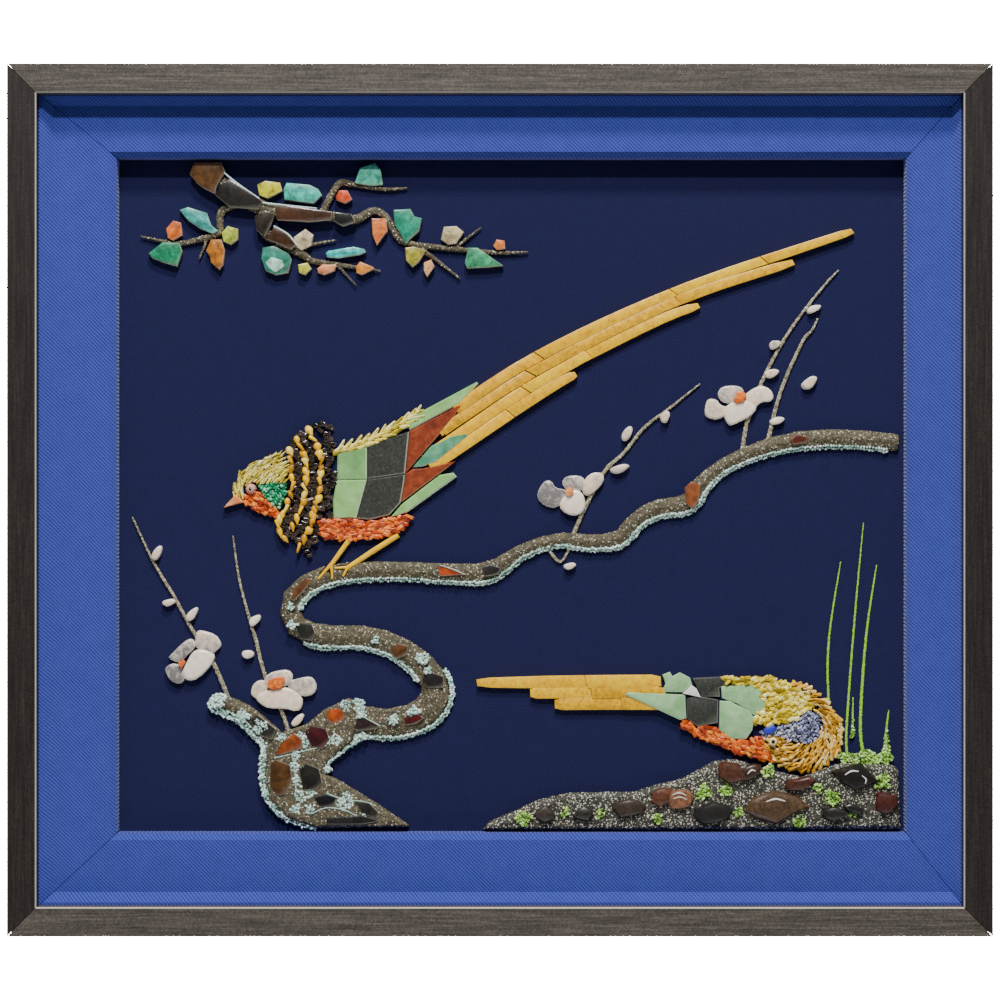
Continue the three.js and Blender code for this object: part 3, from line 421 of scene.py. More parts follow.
def modelShard(front=0.62, point=0.35):
    # a chip one unit long, wide and thick, thinner at its front and pointed at one end
    clearPicks()
    bpy.ops.mesh.primitive_cube_add(size=1, location=(0, -0.5, 0))
    shard = bpy.context.object
    bpy.ops.object.transform_apply(location=True)
    pickFaces(shard, lambda centre, normal: normal.y < -0.9)
    bpy.ops.transform.resize(value=(0.74, 1, front), center_override=(0, -1, 0))
    pickFaces(shard, lambda centre, normal: normal.x > 0.7)
    bpy.ops.transform.resize(value=(1, 0.75, point), center_override=(0.5, -0.3, 0))
    pickFaces(shard, lambda centre, normal: normal.x < -0.7)
    bpy.ops.transform.resize(value=(1, 0.9, 0.7), center_override=(-0.5, -0.4, 0))
    bpy.ops.mesh.select_all(action="SELECT")
    bpy.ops.mesh.bevel(offset=0.1, segments=1, affect="EDGES")
    clearPicks()
    return shard


def modelGranule():
    clearPicks()
    bpy.ops.mesh.primitive_ico_sphere_add(subdivisions=1, radius=0.56, location=(0, -0.4, 0))
    granule = bpy.context.object
    bpy.ops.object.transform_apply(location=True)
    bpy.ops.object.mode_set(mode="EDIT")
    bpy.ops.mesh.select_all(action="SELECT")
    bpy.ops.transform.vertex_random(offset=0.12, seed=4)
    clearPicks()
    return granule


def modelBead():
    # a waxy drop: a ball drawn out to one side
    clearPicks()
    bpy.ops.mesh.primitive_ico_sphere_add(subdivisions=2, radius=0.5, location=(0, -0.35, 0))
    bead = bpy.context.object
    bpy.ops.object.transform_apply(location=True)
    pickFaces(bead, lambda centre, normal: centre.x > 0.3)
    bpy.ops.transform.resize(value=(1.2, 0.7, 0.55), center_override=(0.2, -0.3, 0))
    clearPicks()
    return bead


masters = {"shard": modelShard(), "scale": modelShard(0.45, 0.22), "block": modelShard(0.74, 0.8),
           "granule": modelGranule(), "bead": modelBead()}


def layCopies(kind, places):
    # every place is x, z, height of the base, turn, tilt, roll, (length, width, thickness), shade
    parts = []
    for x, z, base, turn, tilt, roll, size, tone in places:
        mesh = masters[kind].data.copy()
        mesh.transform(Matrix.Translation(spot(x, z, base)) @ Matrix.Rotation(-math.radians(turn), 4, "Y")
                       @ Matrix.Rotation(-math.radians(tilt), 4, "Z") @ Matrix.Rotation(math.radians(roll), 4, "X")
                       @ Matrix.Diagonal((size[0] * mm, size[2] * mm, size[1] * mm, 1)))
        shade = mesh.attributes.new("tone", "FLOAT", "POINT")
        shade.data.foreach_set("value", [tone] * len(mesh.vertices))
        copy = bpy.data.objects.new("chip", mesh)
        bpy.context.collection.objects.link(copy)
        parts.append(copy)
    return joinAll(parts)


def toneAll(piece, tone):
    shade = piece.data.attributes.new("tone", "FLOAT", "POINT")
    shade.data.foreach_set("value", [tone] * len(piece.data.vertices))
    return piece


def alongPath(points, t):
    # place, direction and width at a share of a smooth curve through (x, z, width) points
    where = t * (len(points) - 1)
    i = min(int(where), len(points) - 2)
    f = where - i
    rows = [points[max(0, i - 1)], points[i], points[i + 1], points[min(len(points) - 1, i + 2)]]
    out = []
    for axis in (0, 1):
        a, b, c, d = (row[axis] for row in rows)
        value = 0.5 * (2 * b + (c - a) * f + (2 * a - 5 * b + 4 * c - d) * f ** 2 + (3 * b - a - 3 * c + d) * f ** 3)
        slope = 0.5 * ((c - a) + 2 * (2 * a - 5 * b + 4 * c - d) * f + 3 * (3 * b - a - 3 * c + d) * f ** 2)
        out.append((value, slope))
    width = rows[1][2] + (rows[2][2] - rows[1][2]) * f
    (x, dx), (z, dz) = out
    size = math.hypot(dx, dz) or 1
    return x, z, dx / size, dz / size, width


def insideOutline(outline, x, z):
    inside = False
    for (ax, az), (bx, bz) in zip(outline, outline[1:] + outline[:1]):
        if (az > z) != (bz > z) and x < (bx - ax) * (z - az) / (bz - az) + ax:
            inside = not inside
    return inside


def fillOutline(outline, spacing):
    lowX, highX = min(p[0] for p in outline), max(p[0] for p in outline)
    lowZ, highZ = min(p[1] for p in outline), max(p[1] for p in outline)
    found = []
    row = 0
    z = lowZ
    while z < highZ:
        x = lowX + (row % 2) * spacing / 2
        while x < highX:
            px, pz = x + random.uniform(-0.3, 0.3) * spacing, z + random.uniform(-0.3, 0.3) * spacing
            if insideOutline(outline, px, pz):
                found.append((px, pz))
            x += spacing
        z += spacing * 0.86
        row += 1
    return found


def layField(outline, chips, kind="block", middle=None):
    # chips laid at random over an outline, each within the ranges given, or turned round a middle as well
    places = []
    for x, z in fillOutline(outline, chips["spacing"]):
        base, turn, tilt = (random.uniform(*chips[key]) for key in ("base", "turn", "tilt"))
        roll = random.uniform(*chips["roll"]) if "roll" in chips else 0
        size = tuple(random.uniform(*chips[key]) for key in ("length", "width", "thick"))
        if middle:
            turn += math.degrees(math.atan2(z - middle[1], x - middle[0])) + 90
        places.append((x, z, base, turn, tilt, roll, size, random.random()))
    return layCopies(kind, places)


def crumbs(outline, spacing, size, base):
    return [(x, z, base + random.uniform(0, 0.5), random.uniform(0, 360), random.uniform(-30, 30), 0,
             (size * random.uniform(0.75, 1.3), size * random.uniform(0.7, 1.1), size * random.uniform(0.8, 1.3)),
             random.random()) for x, z in fillOutline(outline, spacing)]


def disc(x, z, radius):
    return [(x + radius * math.cos(a * math.pi / 5) * (0.8 + 0.3 * math.sin(2.3 * a + x)),
             z + radius * math.sin(a * math.pi / 5) * (0.8 + 0.3 * math.cos(1.7 * a + z))) for a in range(10)]


def ropeLine(points, flatten=0.6, sides=3, lift=0.4):
    # a tapering line of grit: a round rod along the points, flattened against the cloth
    clearPicks()
    curve = bpy.data.curves.new("line", "CURVE")
    curve.dimensions = "3D"
    curve.bevel_depth = 1.0
    curve.bevel_resolution = sides
    curve.use_fill_caps = True
    steps = max(8, 4 * len(points))
    run = curve.splines.new("POLY")
    run.points.add(steps)
    for k in range(steps + 1):
        x, z, _, _, width = alongPath(points, k / steps)
        place = spot(x, z, 0)
        run.points[k].co = (place.x, 0, place.z, 1)
        run.points[k].radius = width / 2 * mm
    rod = bpy.data.objects.new("line", curve)
    bpy.context.collection.objects.link(rod)
    rod.select_set(True)
    bpy.context.view_layer.objects.active = rod
    bpy.ops.object.convert(target="MESH")
    rod = bpy.context.object
    rod.data.transform(Matrix.Translation((0, fieldY - lift * mm, 0)) @ Matrix.Diagonal((1, flatten, 1, 1)))
    return rod


def roughen(piece, voxelMm, grainMm, heightMm):
    # one skin over all the parts, then real bumps of grit
    clearPicks()
    piece.select_set(True)
    bpy.context.view_layer.objects.active = piece
    skin = piece.modifiers.new("skin", "REMESH")
    skin.mode = "VOXEL"
    skin.voxel_size = voxelMm * mm
    bpy.ops.object.modifier_apply(modifier=skin.name)
    grit = bpy.data.textures.new("grit", "CLOUDS")
    grit.noise_scale = grainMm * mm
    grit.noise_depth = 2
    bumps = piece.modifiers.new("bumps", "DISPLACE")
    bumps.texture = grit
    bumps.texture_coords = "LOCAL"
    bumps.strength = heightMm * mm
    bumps.mid_level = 0.5
    bpy.ops.object.modifier_apply(modifier=bumps.name)
    return piece


# size of the skin's mesh, size of the grains and their height, mm
gritSizes = {"branch": (0.85, 1.5, 1.1), "twigs": (0.5, 1.2, 0.9), "leafy": (0.55, 1.3, 1.0),
             "bank": (0.85, 1.6, 1.5), "grass": (0.4, 1.1, 0.7)}


def copyNode(name):
    clearPicks()
    copy = bpy.data.objects.new("copy", nodes[name].data.copy())
    copy.matrix_world = nodes[name].matrix_world
    bpy.context.collection.objects.link(copy)
    copy.select_set(True)
    bpy.context.view_layer.objects.active = copy
    bpy.ops.object.mode_set(mode="EDIT")
    bpy.ops.mesh.select_all(action="SELECT")
    bpy.ops.mesh.remove_doubles(threshold=0.00002)
    bpy.ops.object.mode_set(mode="OBJECT")
    return copy


# the standing pheasant

head = {
    "crest": [(-174.2, -1), (-175, 5), (-170.5, 14), (-162, 20.4), (-153, 24.6), (-145.5, 26.2), (-140.8, 20),
              (-139.8, 12), (-141, 8.4), (-151, 9.4), (-158.6, 8), (-163.5, 8.6), (-167.8, 6.4), (-168.4, -1.2)],
    "cheek": [(-158.6, 6.8), (-150, 8.6), (-142, 7.4), (-141, 3.5), (-145.8, -8.8), (-153.6, -2.5)],
    "throat": [(-168.6, 1), (-166, 0.6), (-161, 0.2), (-158.4, 3), (-156, 0), (-153, -4), (-146.6, -9.6),
               (-145.6, -13.6), (-150, -14), (-160, -9.4), (-167, -5)],
}
crest = {"spacing": 2.1, "fan": 62, "sweep": 40, "stray": 9, "length": (5.2, 7.6), "width": (2.4, 3.4),
         "thick": (2, 3), "ridge": 9}
places = []
for x, z in fillOutline(head["crest"], crest["spacing"]):
    fan = crest["fan"] - crest["sweep"] * (z + 1) / 28 + random.uniform(-crest["stray"], crest["stray"])
    if x < -168:  # above the beak the slivers stand up
        fan += crest["sweep"]
    places.append((x, z, 1.2 + (x + 175) * 0.05, fan, random.uniform(2, 12), random.uniform(-15, 15),
                   tuple(random.uniform(*crest[key]) for key in ("length", "width", "thick")), random.random()))
for k in range(crest["ridge"]):
    t = k / (crest["ridge"] - 1)
    places.append((-170 + 27 * t, 12 + 15 * math.sin(t * 1.35), 1.6, 66 - 22 * t, 4, 0, (8, 2.2, 2.4),
                   random.random()))
finishPiece(layCopies("scale", places), "crestSlivers", looks["straw"], "standing_crest", 30)
finishPiece(layCopies("granule", crumbs(head["cheek"], 1.45, 2.2, 0.5) + crumbs(head["cheek"], 1.9, 2.2, 2.2)),
            "cheekCrumbs", looks["malachite"], "standing_cheek", 20)
throatChips = {"spacing": 1.8, "base": (1, 2), "turn": (-63, -13), "tilt": (0, 18), "length": (3, 4.8),
               "width": (2.2, 3.2), "thick": (1.8, 2.8)}
finishPiece(layField(head["throat"], throatChips), "throatChips", looks["carnelian"],
            "standing_throat", 25)
finishPiece(cutStone(chipOutline(-163.6, 4.1, 1.8, 1.8, 0, 0, 14), 0.5, 7.1, dome=3, keep=0.2), "pupilStone",
            looks["pupil"])

cape = {
    "rows": [
        ([(-139.6, 29.4, 4.6), (-137.4, 15.7, 4.6), (-138.2, 1.9, 3.8), (-142.6, -10, 4.4), (-146.6, -18.2, 4.4),
          (-141, -28.6, 4)], 13),
        ([(-134.8, 36, 4), (-130, 25.1, 4.6), (-128.9, 15.7, 4.6), (-130, 3.4, 4.8), (-132.4, -8.8, 5),
          (-137.4, -21.4, 4)], 13),
        ([(-127.6, 42, 5.6), (-121.8, 30.7, 5), (-120, 19.7, 5), (-119.8, 10, 5), (-121.6, -3.4, 5.2),
          (-124, -11.6, 5), (-127.6, -22.6, 5), (-135.4, -34.6, 4.6)], 17)],
    "bands": [
        [(-138, 34, 4), (-133.9, 22, 6), (-133.4, 12, 6), (-134.4, 1, 6), (-137.9, -10, 6), (-141.8, -18.4, 5),
         (-139, -25, 4)],
        [(-131.8, 39.6, 4), (-125.8, 28, 6), (-124.2, 17, 6), (-124.6, 5, 6), (-127, -7, 6), (-130.4, -16, 6),
         (-135.8, -28, 5)],
        [(-121, 46, 9), (-115.6, 37, 10), (-113.8, 26, 8), (-114.6, 12, 8), (-115, 0, 8), (-117.8, -12, 10),
         (-122.8, -24, 10), (-130, -36, 9)]],
    "bead": {"base": 2.4, "length": (5.8, 8.6), "spread": (0.76, 1.14), "thick": 3.2},
    "shard": {"count": 64, "length": (3.8, 6.4), "width": (2.4, 4.2), "thick": (2, 3), "pale": 0.05},
}
bead, shard = cape["bead"], cape["shard"]
for k, (row, count) in enumerate(cape["rows"], 1):
    places = []
    for i in range(count):
        x, z, dx, dz, width = alongPath(row, (i + 0.5) / count)
        lean = math.degrees(math.atan2(dz, dx)) + random.uniform(-30, 44)
        x += random.uniform(-0.7, 0.7)
        places.append((x, z, bead["base"], lean, random.uniform(2, 12), random.uniform(-12, 12),
                       (random.uniform(*bead["length"]), width * random.uniform(*bead["spread"]), bead["thick"]),
                       random.random()))
    beads = layCopies("bead", [place for i, place in enumerate(places) if i % 3 != 1])
    broken = layCopies("shard", [place for i, place in enumerate(places) if i % 3 == 1])
    finishPiece(joinAll([beads, broken]), f"capeBeads{k}", looks["yellow"],
                f"standing_cape_row_{k}", 60)
for k, band in enumerate(cape["bands"], 1):
    places = []
    for i in range(shard["count"]):
        x, z, dx, dz, width = alongPath(band, (i + 0.5) / shard["count"])
        side = random.uniform(-0.5, 0.5) * width
        # the few shards with the palest tone are painted glints
        tone = random.uniform(0, 0.8) if random.random() < 1 - shard["pale"] else 1.0
        places.append((x - dz * side, z + dx * side, 0.6 + random.uniform(0, 1), random.uniform(-50, 50),
                       random.uniform(-12, 16), random.uniform(-20, 20),
                       tuple(random.uniform(*shard[key]) for key in ("length", "width", "thick")), tone))
    finishPiece(layCopies("block", places), f"capeShards{k}", looks["obsidian"],
                f"standing_cape_band_{k}", 20)

back = {"run": [(-109.6, 28.6, 6), (-91, 33.6, 8), (-72, 43, 9), (-57, 52.6, 6)], "scales": 33,
        "lanes": (-0.28, 0.06, 0.3), "lean": (18, 34, 54), "length": (7.6, 10.6), "width": (4.8, 6.8), "thick": 2.2}
places = []
for i in range(back["scales"]):
    x, z, dx, dz, width = alongPath(back["run"], (i + 0.5) / back["scales"])
    lane = i % 3
    side = back["lanes"][lane] * width
    lean = back["lean"][lane] + random.uniform(-12, 12)
    places.append((x - dz * side, z + dx * side, 1.0 + 0.5 * (2 - lane), lean,
                   random.uniform(2, 10), random.uniform(-10, 10),
                   (random.uniform(*back["length"]), random.uniform(*back["width"]), back["thick"]), random.random()))
finishPiece(layCopies("scale", places), "backScales", looks["straw"], "standing_back_scales", 30)
belly = [(-120.4, -16.2), (-119, -27), (-104, -27.6), (-84, -26.6), (-70, -22.4), (-63.4, -14), (-66, -11.8),
         (-76.4, -14.6), (-88.8, -16.4), (-97.4, -15.6), (-111.8, -15.4)]
bellyChips = {"spacing": 2, "base": (0.8, 2), "turn": (-30, 40), "tilt": (-10, 16), "roll": (-20, 20),
              "length": (3.6, 6.4), "width": (2.8, 4.2), "thick": (2, 3.2)}
finishPiece(layField(belly, bellyChips), "bellyChips", looks["carnelian"], "standing_belly", 25)

legs = {
    "standing_leg_front": [[(-101, -26.6, 3.4), (-113, -43.4, 2.8)], [(-113, -43, 2.4), (-121, -52, 1.4)],
                           [(-113, -43, 2), (-112.4, -52.4, 1.1)]],
    "standing_leg_rear": [[(-71, -24.8, 3.6), (-88, -35.6, 3.6), (-103.6, -46, 3.2)],
                          [(-102.6, -45, 2), (-110.8, -45.4, 1.2)], [(-103, -45.6, 2), (-105.6, -50.6, 1.2)]],
}
for node, runs in legs.items():
    leg = joinAll([ropeLine(run, 0.7, 3, 2.4 if i == 0 else 4.4) for i, run in enumerate(runs)])
    finishPiece(toneAll(leg, 0.6), node.replace("standing_", "yellow_"), looks["yellow"], node, 50)
print("the standing bird's chips are laid")

# tails: rows of sawn strips, each row of a few lengths that butt together at the shares given
tails = {
    "standing_tailStrips1": ("standing_tail_row_1", [
        ([(-35.4, 53.8, 6.8), (-29.4, 58.4, 6.8), (5, 80.9, 6.8), (47, 102.8, 7), (93.4, 124.1, 5.6),
          (134.2, 139.5, 5.8), (174.9, 153, 5.6), (214.6, 166.2, 4.4)], [0, 0.33, 0.6, 0.8, 1])]),
    "standing_tailStrips2": ("standing_tail_row_2", [
        ([(-45, 38.6, 6.4), (-38.9, 43.7, 6.4), (7.5, 74, 6.4), (52, 97.6, 6.2), (93.4, 117.6, 6),
          (123.5, 129.6, 6), (150, 138.2, 5.6), (177.4, 146.6, 5)], [0, 0.3, 0.62, 1])]),
    "standing_tailStrips3": ("standing_tail_row_3", [
        ([(-50.4, 26.4, 6.6), (-43.3, 31.2, 6.6), (2.5, 62.4, 6.8), (37.6, 82.6, 6.4), (49.5, 89, 6.4),
          (93.4, 110.6, 6.2), (117.9, 119.4, 4.4)], [0, 0.36, 0.66, 1])]),
    "standing_tailStrips4": ("standing_tail_row_4", [
        ([(-51, 17.4, 6.8), (-46.4, 20.4, 6.8), (-0.6, 51.6, 7), (27.6, 69.6, 6.4), (40.6, 76.2, 4.4)],
         [0, 0.5, 1])]),
    "restingTailStrips": ("resting_tail", [
        ([(-22, -117.6, 5.4), (20, -117.2, 7.6), (60, -116.8, 8), (94, -116.6, 8)], [0, 0.55, 1]),
        ([(11.6, -124, 6.8), (50, -123.6, 7.2), (97, -123.6, 7.2)], [0, 0.5, 1]),
        ([(27, -131, 7.2), (60, -130.8, 7.2), (94.6, -130.8, 7.2)], [0, 0.62, 1])]),
}
strips = {"height": 3.0, "bevel": 0.5, "base": (0.3, 0.8), "tone": (0.4, 0.72), "slant": 0.006, "gap": 0.001,
          "tip": 0.7}


def strip(run, start, end, tone, base):
    outline = []
    for side in (1, -1):
        share = [start + (end - start) * k / 6 for k in range(7)]
        for t in (share if side == 1 else share[::-1]):
            x, z, dx, dz, width = alongPath(run, min(1, max(0, t + side * strips["slant"])))
            across = side * (width / 2 + 0.12) * (strips["tip"] if t < 0.002 or t > 0.998 else 1)
            outline.append((x + dz * across, z - dx * across))
    return toneAll(cutStone(outline, strips["height"], base, bevel=strips["bevel"]), tone)


for name, (node, rows) in tails.items():
    parts = []
    for run, cuts in rows:
        for i, (a, b) in enumerate(zip(cuts, cuts[1:])):
            parts.append(strip(run, a + strips["gap"], b - strips["gap"], random.uniform(*strips["tone"]),
                               strips["base"][i % 2]))
    finishPiece(joinAll(parts), name, looks["honey"], node, 35)
print("the tails are laid")

# the resting pheasant

resting = {
    "back": [(133, -113.8), (147.3, -114.4), (163.6, -114.4), (178.4, -119.8), (187.5, -127.1), (189.4, -133.6),
             (181.8, -136), (180.3, -139.8), (171.2, -142.3), (160.3, -144.2), (151.6, -143), (152.6, -138),
             (158.4, -130.7), (156.4, -123.5), (149.2, -118.8), (134.8, -117.9)],
    "nape": [(156.6, -148), (161.1, -144.2), (171.2, -144.2), (180.3, -140.8), (183.1, -136), (189.4, -134.2),
             (193.7, -139.8), (194.8, -146.1), (193.1, -151.7), (187.5, -155.2), (174.9, -155.2), (169.3, -151.7),
             (163.6, -149.9), (158.4, -153.5)],
    "belly": [(106.6, -139.8), (111, -142.3), (118.5, -146.1), (124.8, -143.8), (130.3, -147.1), (138.4, -152.4),
              (147.3, -154.2), (156.6, -151.7), (159.3, -158), (163.9, -166.2), (156.6, -166.2), (142.1, -161.6),
              (129.2, -156.1), (116.6, -150.7), (107.5, -145.3)],
    "neck": [(171.2, -116), (185.6, -119.8), (197.5, -128.9), (205.7, -138.9), (207.5, -148.9), (205.7, -159.9),
             (198.4, -168), (187.5, -173.4), (178.4, -173.4), (169.3, -168.9), (162.1, -163.5), (158.4, -158),
             (159.3, -153.6), (165.5, -148.9), (170.5, -152.4), (174.9, -155.2), (185.6, -156.1), (193.1, -152.4),
             (194.8, -145.3), (191.9, -136), (187.5, -127.1), (180.3, -121.6)],
    "middle": (178, -145),
}
tiles = {  # look, slot, node, thickness of each tile, outlines
    "restingPaleTiles": ("jadeSoft", "pale_jade", "resting_pale_tiles", (4.3, 3.4), [
        [(70.9, -124.9), (73, -123.5), (109, -124.9), (109.7, -139.8), (105.7, -140.8), (83.9, -130.7)],
        [(94.7, -112.5), (99.4, -110.7), (101, -113.5), (105.7, -111), (112.1, -114.4), (113.4, -118.9),
         (107.5, -123.4), (94.7, -123.2), (96.6, -117.9)]]),
    "restingDarkTiles": ("slate", "slate", "resting_dark_tiles", (3.4, 3.4), [
        [(113.9, -114.7), (131, -113.8), (137, -117.9), (130.3, -120.8), (130.8, -126.2), (119.4, -126.2)],
        [(110, -127.1), (116.6, -125.4), (129.7, -128.2), (129.4, -142.6), (116.6, -144.8), (110.3, -139.8)]]),
    "restingGreenTiles": ("jadeSoft", "pale_jade", "resting_green_tiles", (3.4, 3.4), [
        [(131.4, -119.6), (151.1, -118.9), (156.6, -121.6), (160.3, -130.7), (156.6, -137.1), (152.1, -137.9),
         (142.1, -130.7), (132.1, -127.1)],
        [(130.5, -128.9), (136.7, -128.9), (149.2, -135.3), (152.4, -139.8), (151.1, -147.1), (147.5, -152.6),
         (138.4, -152.6), (130.3, -147.1)]]),
}
for name, (lookName, slotName, node, thick, outlines) in tiles.items():
    stones = [cutStone(outline, thick[k], 0.3 + 0.5 * k, bevel=0.8) for k, outline in enumerate(outlines)]
    finishPiece(joinAll(stones), name, looks[lookName], node, 30)
whiteChip = [(107.2, -124.1), (112.9, -118.8), (116, -121), (118.8, -126.7), (112.2, -125.1)]
finishPiece(cutStone(whiteChip, 0.9, 4.1, bevel=0.3), "whiteChip", looks["white"], None, 30)
backChips = {"spacing": 2.2, "base": (1, 2.4), "turn": (-40, 40), "tilt": (-14, 14), "roll": (-20, 20),
             "length": (3.6, 6), "width": (2.8, 4.2), "thick": (2, 3.2)}
finishPiece(layField(resting["back"], backChips), "restingBackMosaic", looks["citrine"],
            "resting_back", 20)
napeChips = {"spacing": 1.8, "base": (1, 2.2), "turn": (0, 180), "tilt": (-14, 14), "length": (2.2, 3.8),
             "width": (1.6, 2.6), "thick": (2, 3)}
finishPiece(layField(resting["nape"], napeChips), "napeChips", looks["lapis"], "resting_nape", 20)
finishPiece(cutStone(chipOutline(162.2, -147, 8.4, 5, 20, 0.2, 9), 4.6, 0.6, bevel=1.0), "lapisCrestStone",
            looks["lapisDeep"])
restingBellyChips = {"spacing": 2, "base": (0.8, 2), "turn": (-60, 0), "tilt": (-10, 16), "length": (3.8, 6.4),
                     "width": (2.8, 4.2), "thick": (2, 3.2)}
finishPiece(layField(resting["belly"], restingBellyChips), "restingBellyChips", looks["carnelian"],
            "resting_belly", 25)
neckScales = {"spacing": 2.8, "base": (1.2, 2.6), "turn": (10, 46), "tilt": (8, 20), "roll": (-14, 14),
              "length": (5.6, 7.8), "width": (4, 5.4), "thick": (1.8, 2.4)}
finishPiece(layField(resting["neck"], neckScales, "scale", resting["middle"]), "neckScales", looks["gold"],
            "resting_neck_scales", 25)
finishPiece(toneAll(cutStone(chipOutline(163.9, -154.2, 5.2, 5.2, 0, 0, 14), 1.2, 5.2, dome=3, keep=0.5), 0.95),
            "restingEyeRing", looks["gold"])
finishPiece(cutStone(chipOutline(163.9, -154.2, 2.6, 2.6, 0, 0, 12), 0.6, 6.3, dome=3, keep=0.2), "restingEye",
            looks["pupil"])
print("the resting bird's chips are laid")

# blossom and buds

petalCut = {"height": 2.4, "dome": 3, "keep": 0.86}
heartCut = {"height": 1.6, "base": 4.2, "bevel": 0.5}
budCut = {"height": 3.4, "base": 0.5, "dome": 4, "keep": 0.7}
# each petal is a flat chip, from grey clear quartz (0) to milky pink quartz (1)
blossoms = [
    ([(-208.9, -104.7), (-205.6, -102.5), (-204.3, -104.2), (-206.7, -108.6), (-208.4, -106.4)], "orange", [
        (0.25, [(-215.3, -102), (-212.8, -99.2), (-205.6, -92.1), (-201.3, -90.2), (-198.8, -93.2), (-199.6, -96.5),
                (-203.5, -99.8), (-206.7, -103.1), (-208.9, -104.7)]),
        (0.4, [(-197.4, -86.1), (-194.7, -85), (-185.9, -87.7), (-182.8, -92.7), (-183.2, -94.9), (-188.1, -99.2),
               (-191.4, -97.6), (-197.4, -96), (-198.5, -92.7)]),
        (0.15, [(-217.2, -108.6), (-213.3, -105.8), (-208.9, -106.4), (-206.2, -110.2), (-205.1, -115.1),
                (-208.9, -118.1), (-214.4, -115.7), (-216.6, -111.3)]),
        (0.75, [(-204, -105.8), (-200.2, -98.7), (-195.8, -97), (-190.3, -98.1), (-186.5, -100.9), (-189.2, -106.9),
                (-196.9, -114.6), (-202.4, -115.7), (-205.6, -113.5), (-206.2, -110.2)])]),
    ([(-153, -120.1), (-152.4, -115.7), (-147.5, -114.1), (-142.6, -113.5), (-142, -116.2), (-144.2, -120.6),
      (-149.7, -121.7)], "orange", [
        (0.5, [(-163.4, -123.4), (-162.3, -119), (-158.5, -116.2), (-154.1, -116.8), (-153, -120.6), (-155.2, -124.5),
               (-159.6, -127.8), (-162.9, -125.6)]),
        (0.45, [(-155.2, -116.2), (-151.9, -111.9), (-146.4, -110.2), (-140.4, -109.7), (-137.6, -113),
                (-138.7, -116.8), (-140.9, -119.5), (-153, -120.1)]),
        (0.35, [(-139.8, -116.8), (-135.4, -115.7), (-128.9, -114.1), (-125, -114.6), (-122.5, -120.1),
                (-124.5, -124.5), (-131.1, -126.1), (-136.5, -122.3), (-139.8, -120.6)]),
        (0.65, [(-159.6, -127.8), (-157.4, -124.5), (-151.9, -122.3), (-144.2, -120.6), (-136.5, -122.3),
                (-132.2, -126.7), (-132.2, -132.2), (-135.4, -135.2), (-142, -133.3), (-151.9, -133.3),
                (-156.3, -131.1)])]),
    ([(33.6, 2.8), (35, 5.4), (38.4, 4.8), (39, 1.6), (36.6, -0.6), (34.4, 0)], "peach", [
        (0.1, [(16.5, -1.2), (18, 4.4), (21.7, 9), (25.4, 8.5), (27.3, 4.4), (34.7, 3.5), (32.8, -1.2), (28.2, -7.6),
               (20.8, -5.8)]),
        (0.3, [(31.9, 8.1), (34.7, 11.8), (42.1, 12.4), (45.8, 9.9), (44.9, 4.4), (40.2, 1.6), (34.7, 3.5)]),
        (0.5, [(46.7, 10.9), (51.3, 14.2), (56.9, 13.6), (57.8, 9), (53.2, 3.5), (47.6, -0.2), (44.9, 2.5),
               (44.9, 6.3)]),
        (0.75, [(30.1, -6.7), (32.8, -1.2), (39.3, 3.5), (43.9, 1.6), (45.8, -3), (45.8, -8.6), (41.2, -12.3),
                (34.7, -11.3)])]),
    ([(139.2, 59.9), (141.1, 64.5), (144.8, 65.8), (147.2, 63.6), (145.7, 59), (141.1, 58.1)], "orange", [
        (0.5, [(121.6, 51.6), (122.6, 58.1), (124.4, 60.5), (129, 59.9), (130.9, 56.6), (136.4, 55.3), (134.6, 50.7),
               (129, 47.9), (123.5, 49.2)]),
        (0.35, [(130, 64.5), (132.7, 68.2), (140.1, 68.8), (144.8, 67.3), (145.7, 62.7), (141.1, 59), (134.6, 58.1),
                (130.9, 60.8)]),
        (0.65, [(146.6, 62.7), (151.2, 66.4), (156.8, 68.8), (162.3, 66.4), (164.2, 61.8), (162.3, 59), (156.8, 59),
                (153.1, 55.3), (147.5, 59)]),
        (0.75, [(133.7, 52.5), (136.4, 57.1), (143.8, 59.9), (151.2, 58.1), (153.5, 54.4), (149.4, 49.7), (142, 46),
                (137.4, 44.2), (134.6, 47.9)])]),
]
for k, (heart, stone, petals) in enumerate(blossoms, 1):
    parts = [toneAll(cutStone(rounded(petal, 1.09), base=0.4 + 0.5 * i, **petalCut), tone)
             for i, (tone, petal) in enumerate(petals)]
    finishPiece(joinAll(parts), f"petals{k}", looks["quartz"], f"blossom_{k}", 60)
    finishPiece(cutStone(heart, **heartCut), f"blossomHeart{k}", looks[stone], f"blossom_centre_{k}", 30)
buds = [(-222.6, -36.1, 11.4, 6.6, 60), (-215.1, -67.1, 9.6, 5.6, 10), (-200.6, -74.6, 12, 6.4, 50),
        (-161.1, -78.4, 10, 6.8, 45), (-165.5, -99.7, 8.8, 7, 0), (-134.2, -141.1, 11.4, 6.4, 45),
        (72.7, 38.9, 11.4, 7.2, 60), (68, 16.9, 13.8, 6.6, 15), (96.6, 49.5, 9, 7.4, 70), (36.7, -44.2, 8.8, 5.4, 10),
        (165.5, 94.7, 8.6, 6.8, 30), (163.5, 76.8, 10.8, 6.8, 15), (187.2, 70.9, 12.6, 8.2, 35),
        (166.8, 47, 10.8, 6, 15), (190, 117.2, 10.8, 5.6, 25)]
parts = []
for x, z, length, width, turn in buds:
    outline = rounded(chipOutline(x, z, length, width, turn, 0.35, 7, 0.16))
    parts.append(toneAll(cutStone(outline, **budCut), random.uniform(0.45, 0.8)))
finishPiece(joinAll(parts), "budStones", looks["quartz"], None, 60)
print("blossom and buds are laid")

# the winding branch

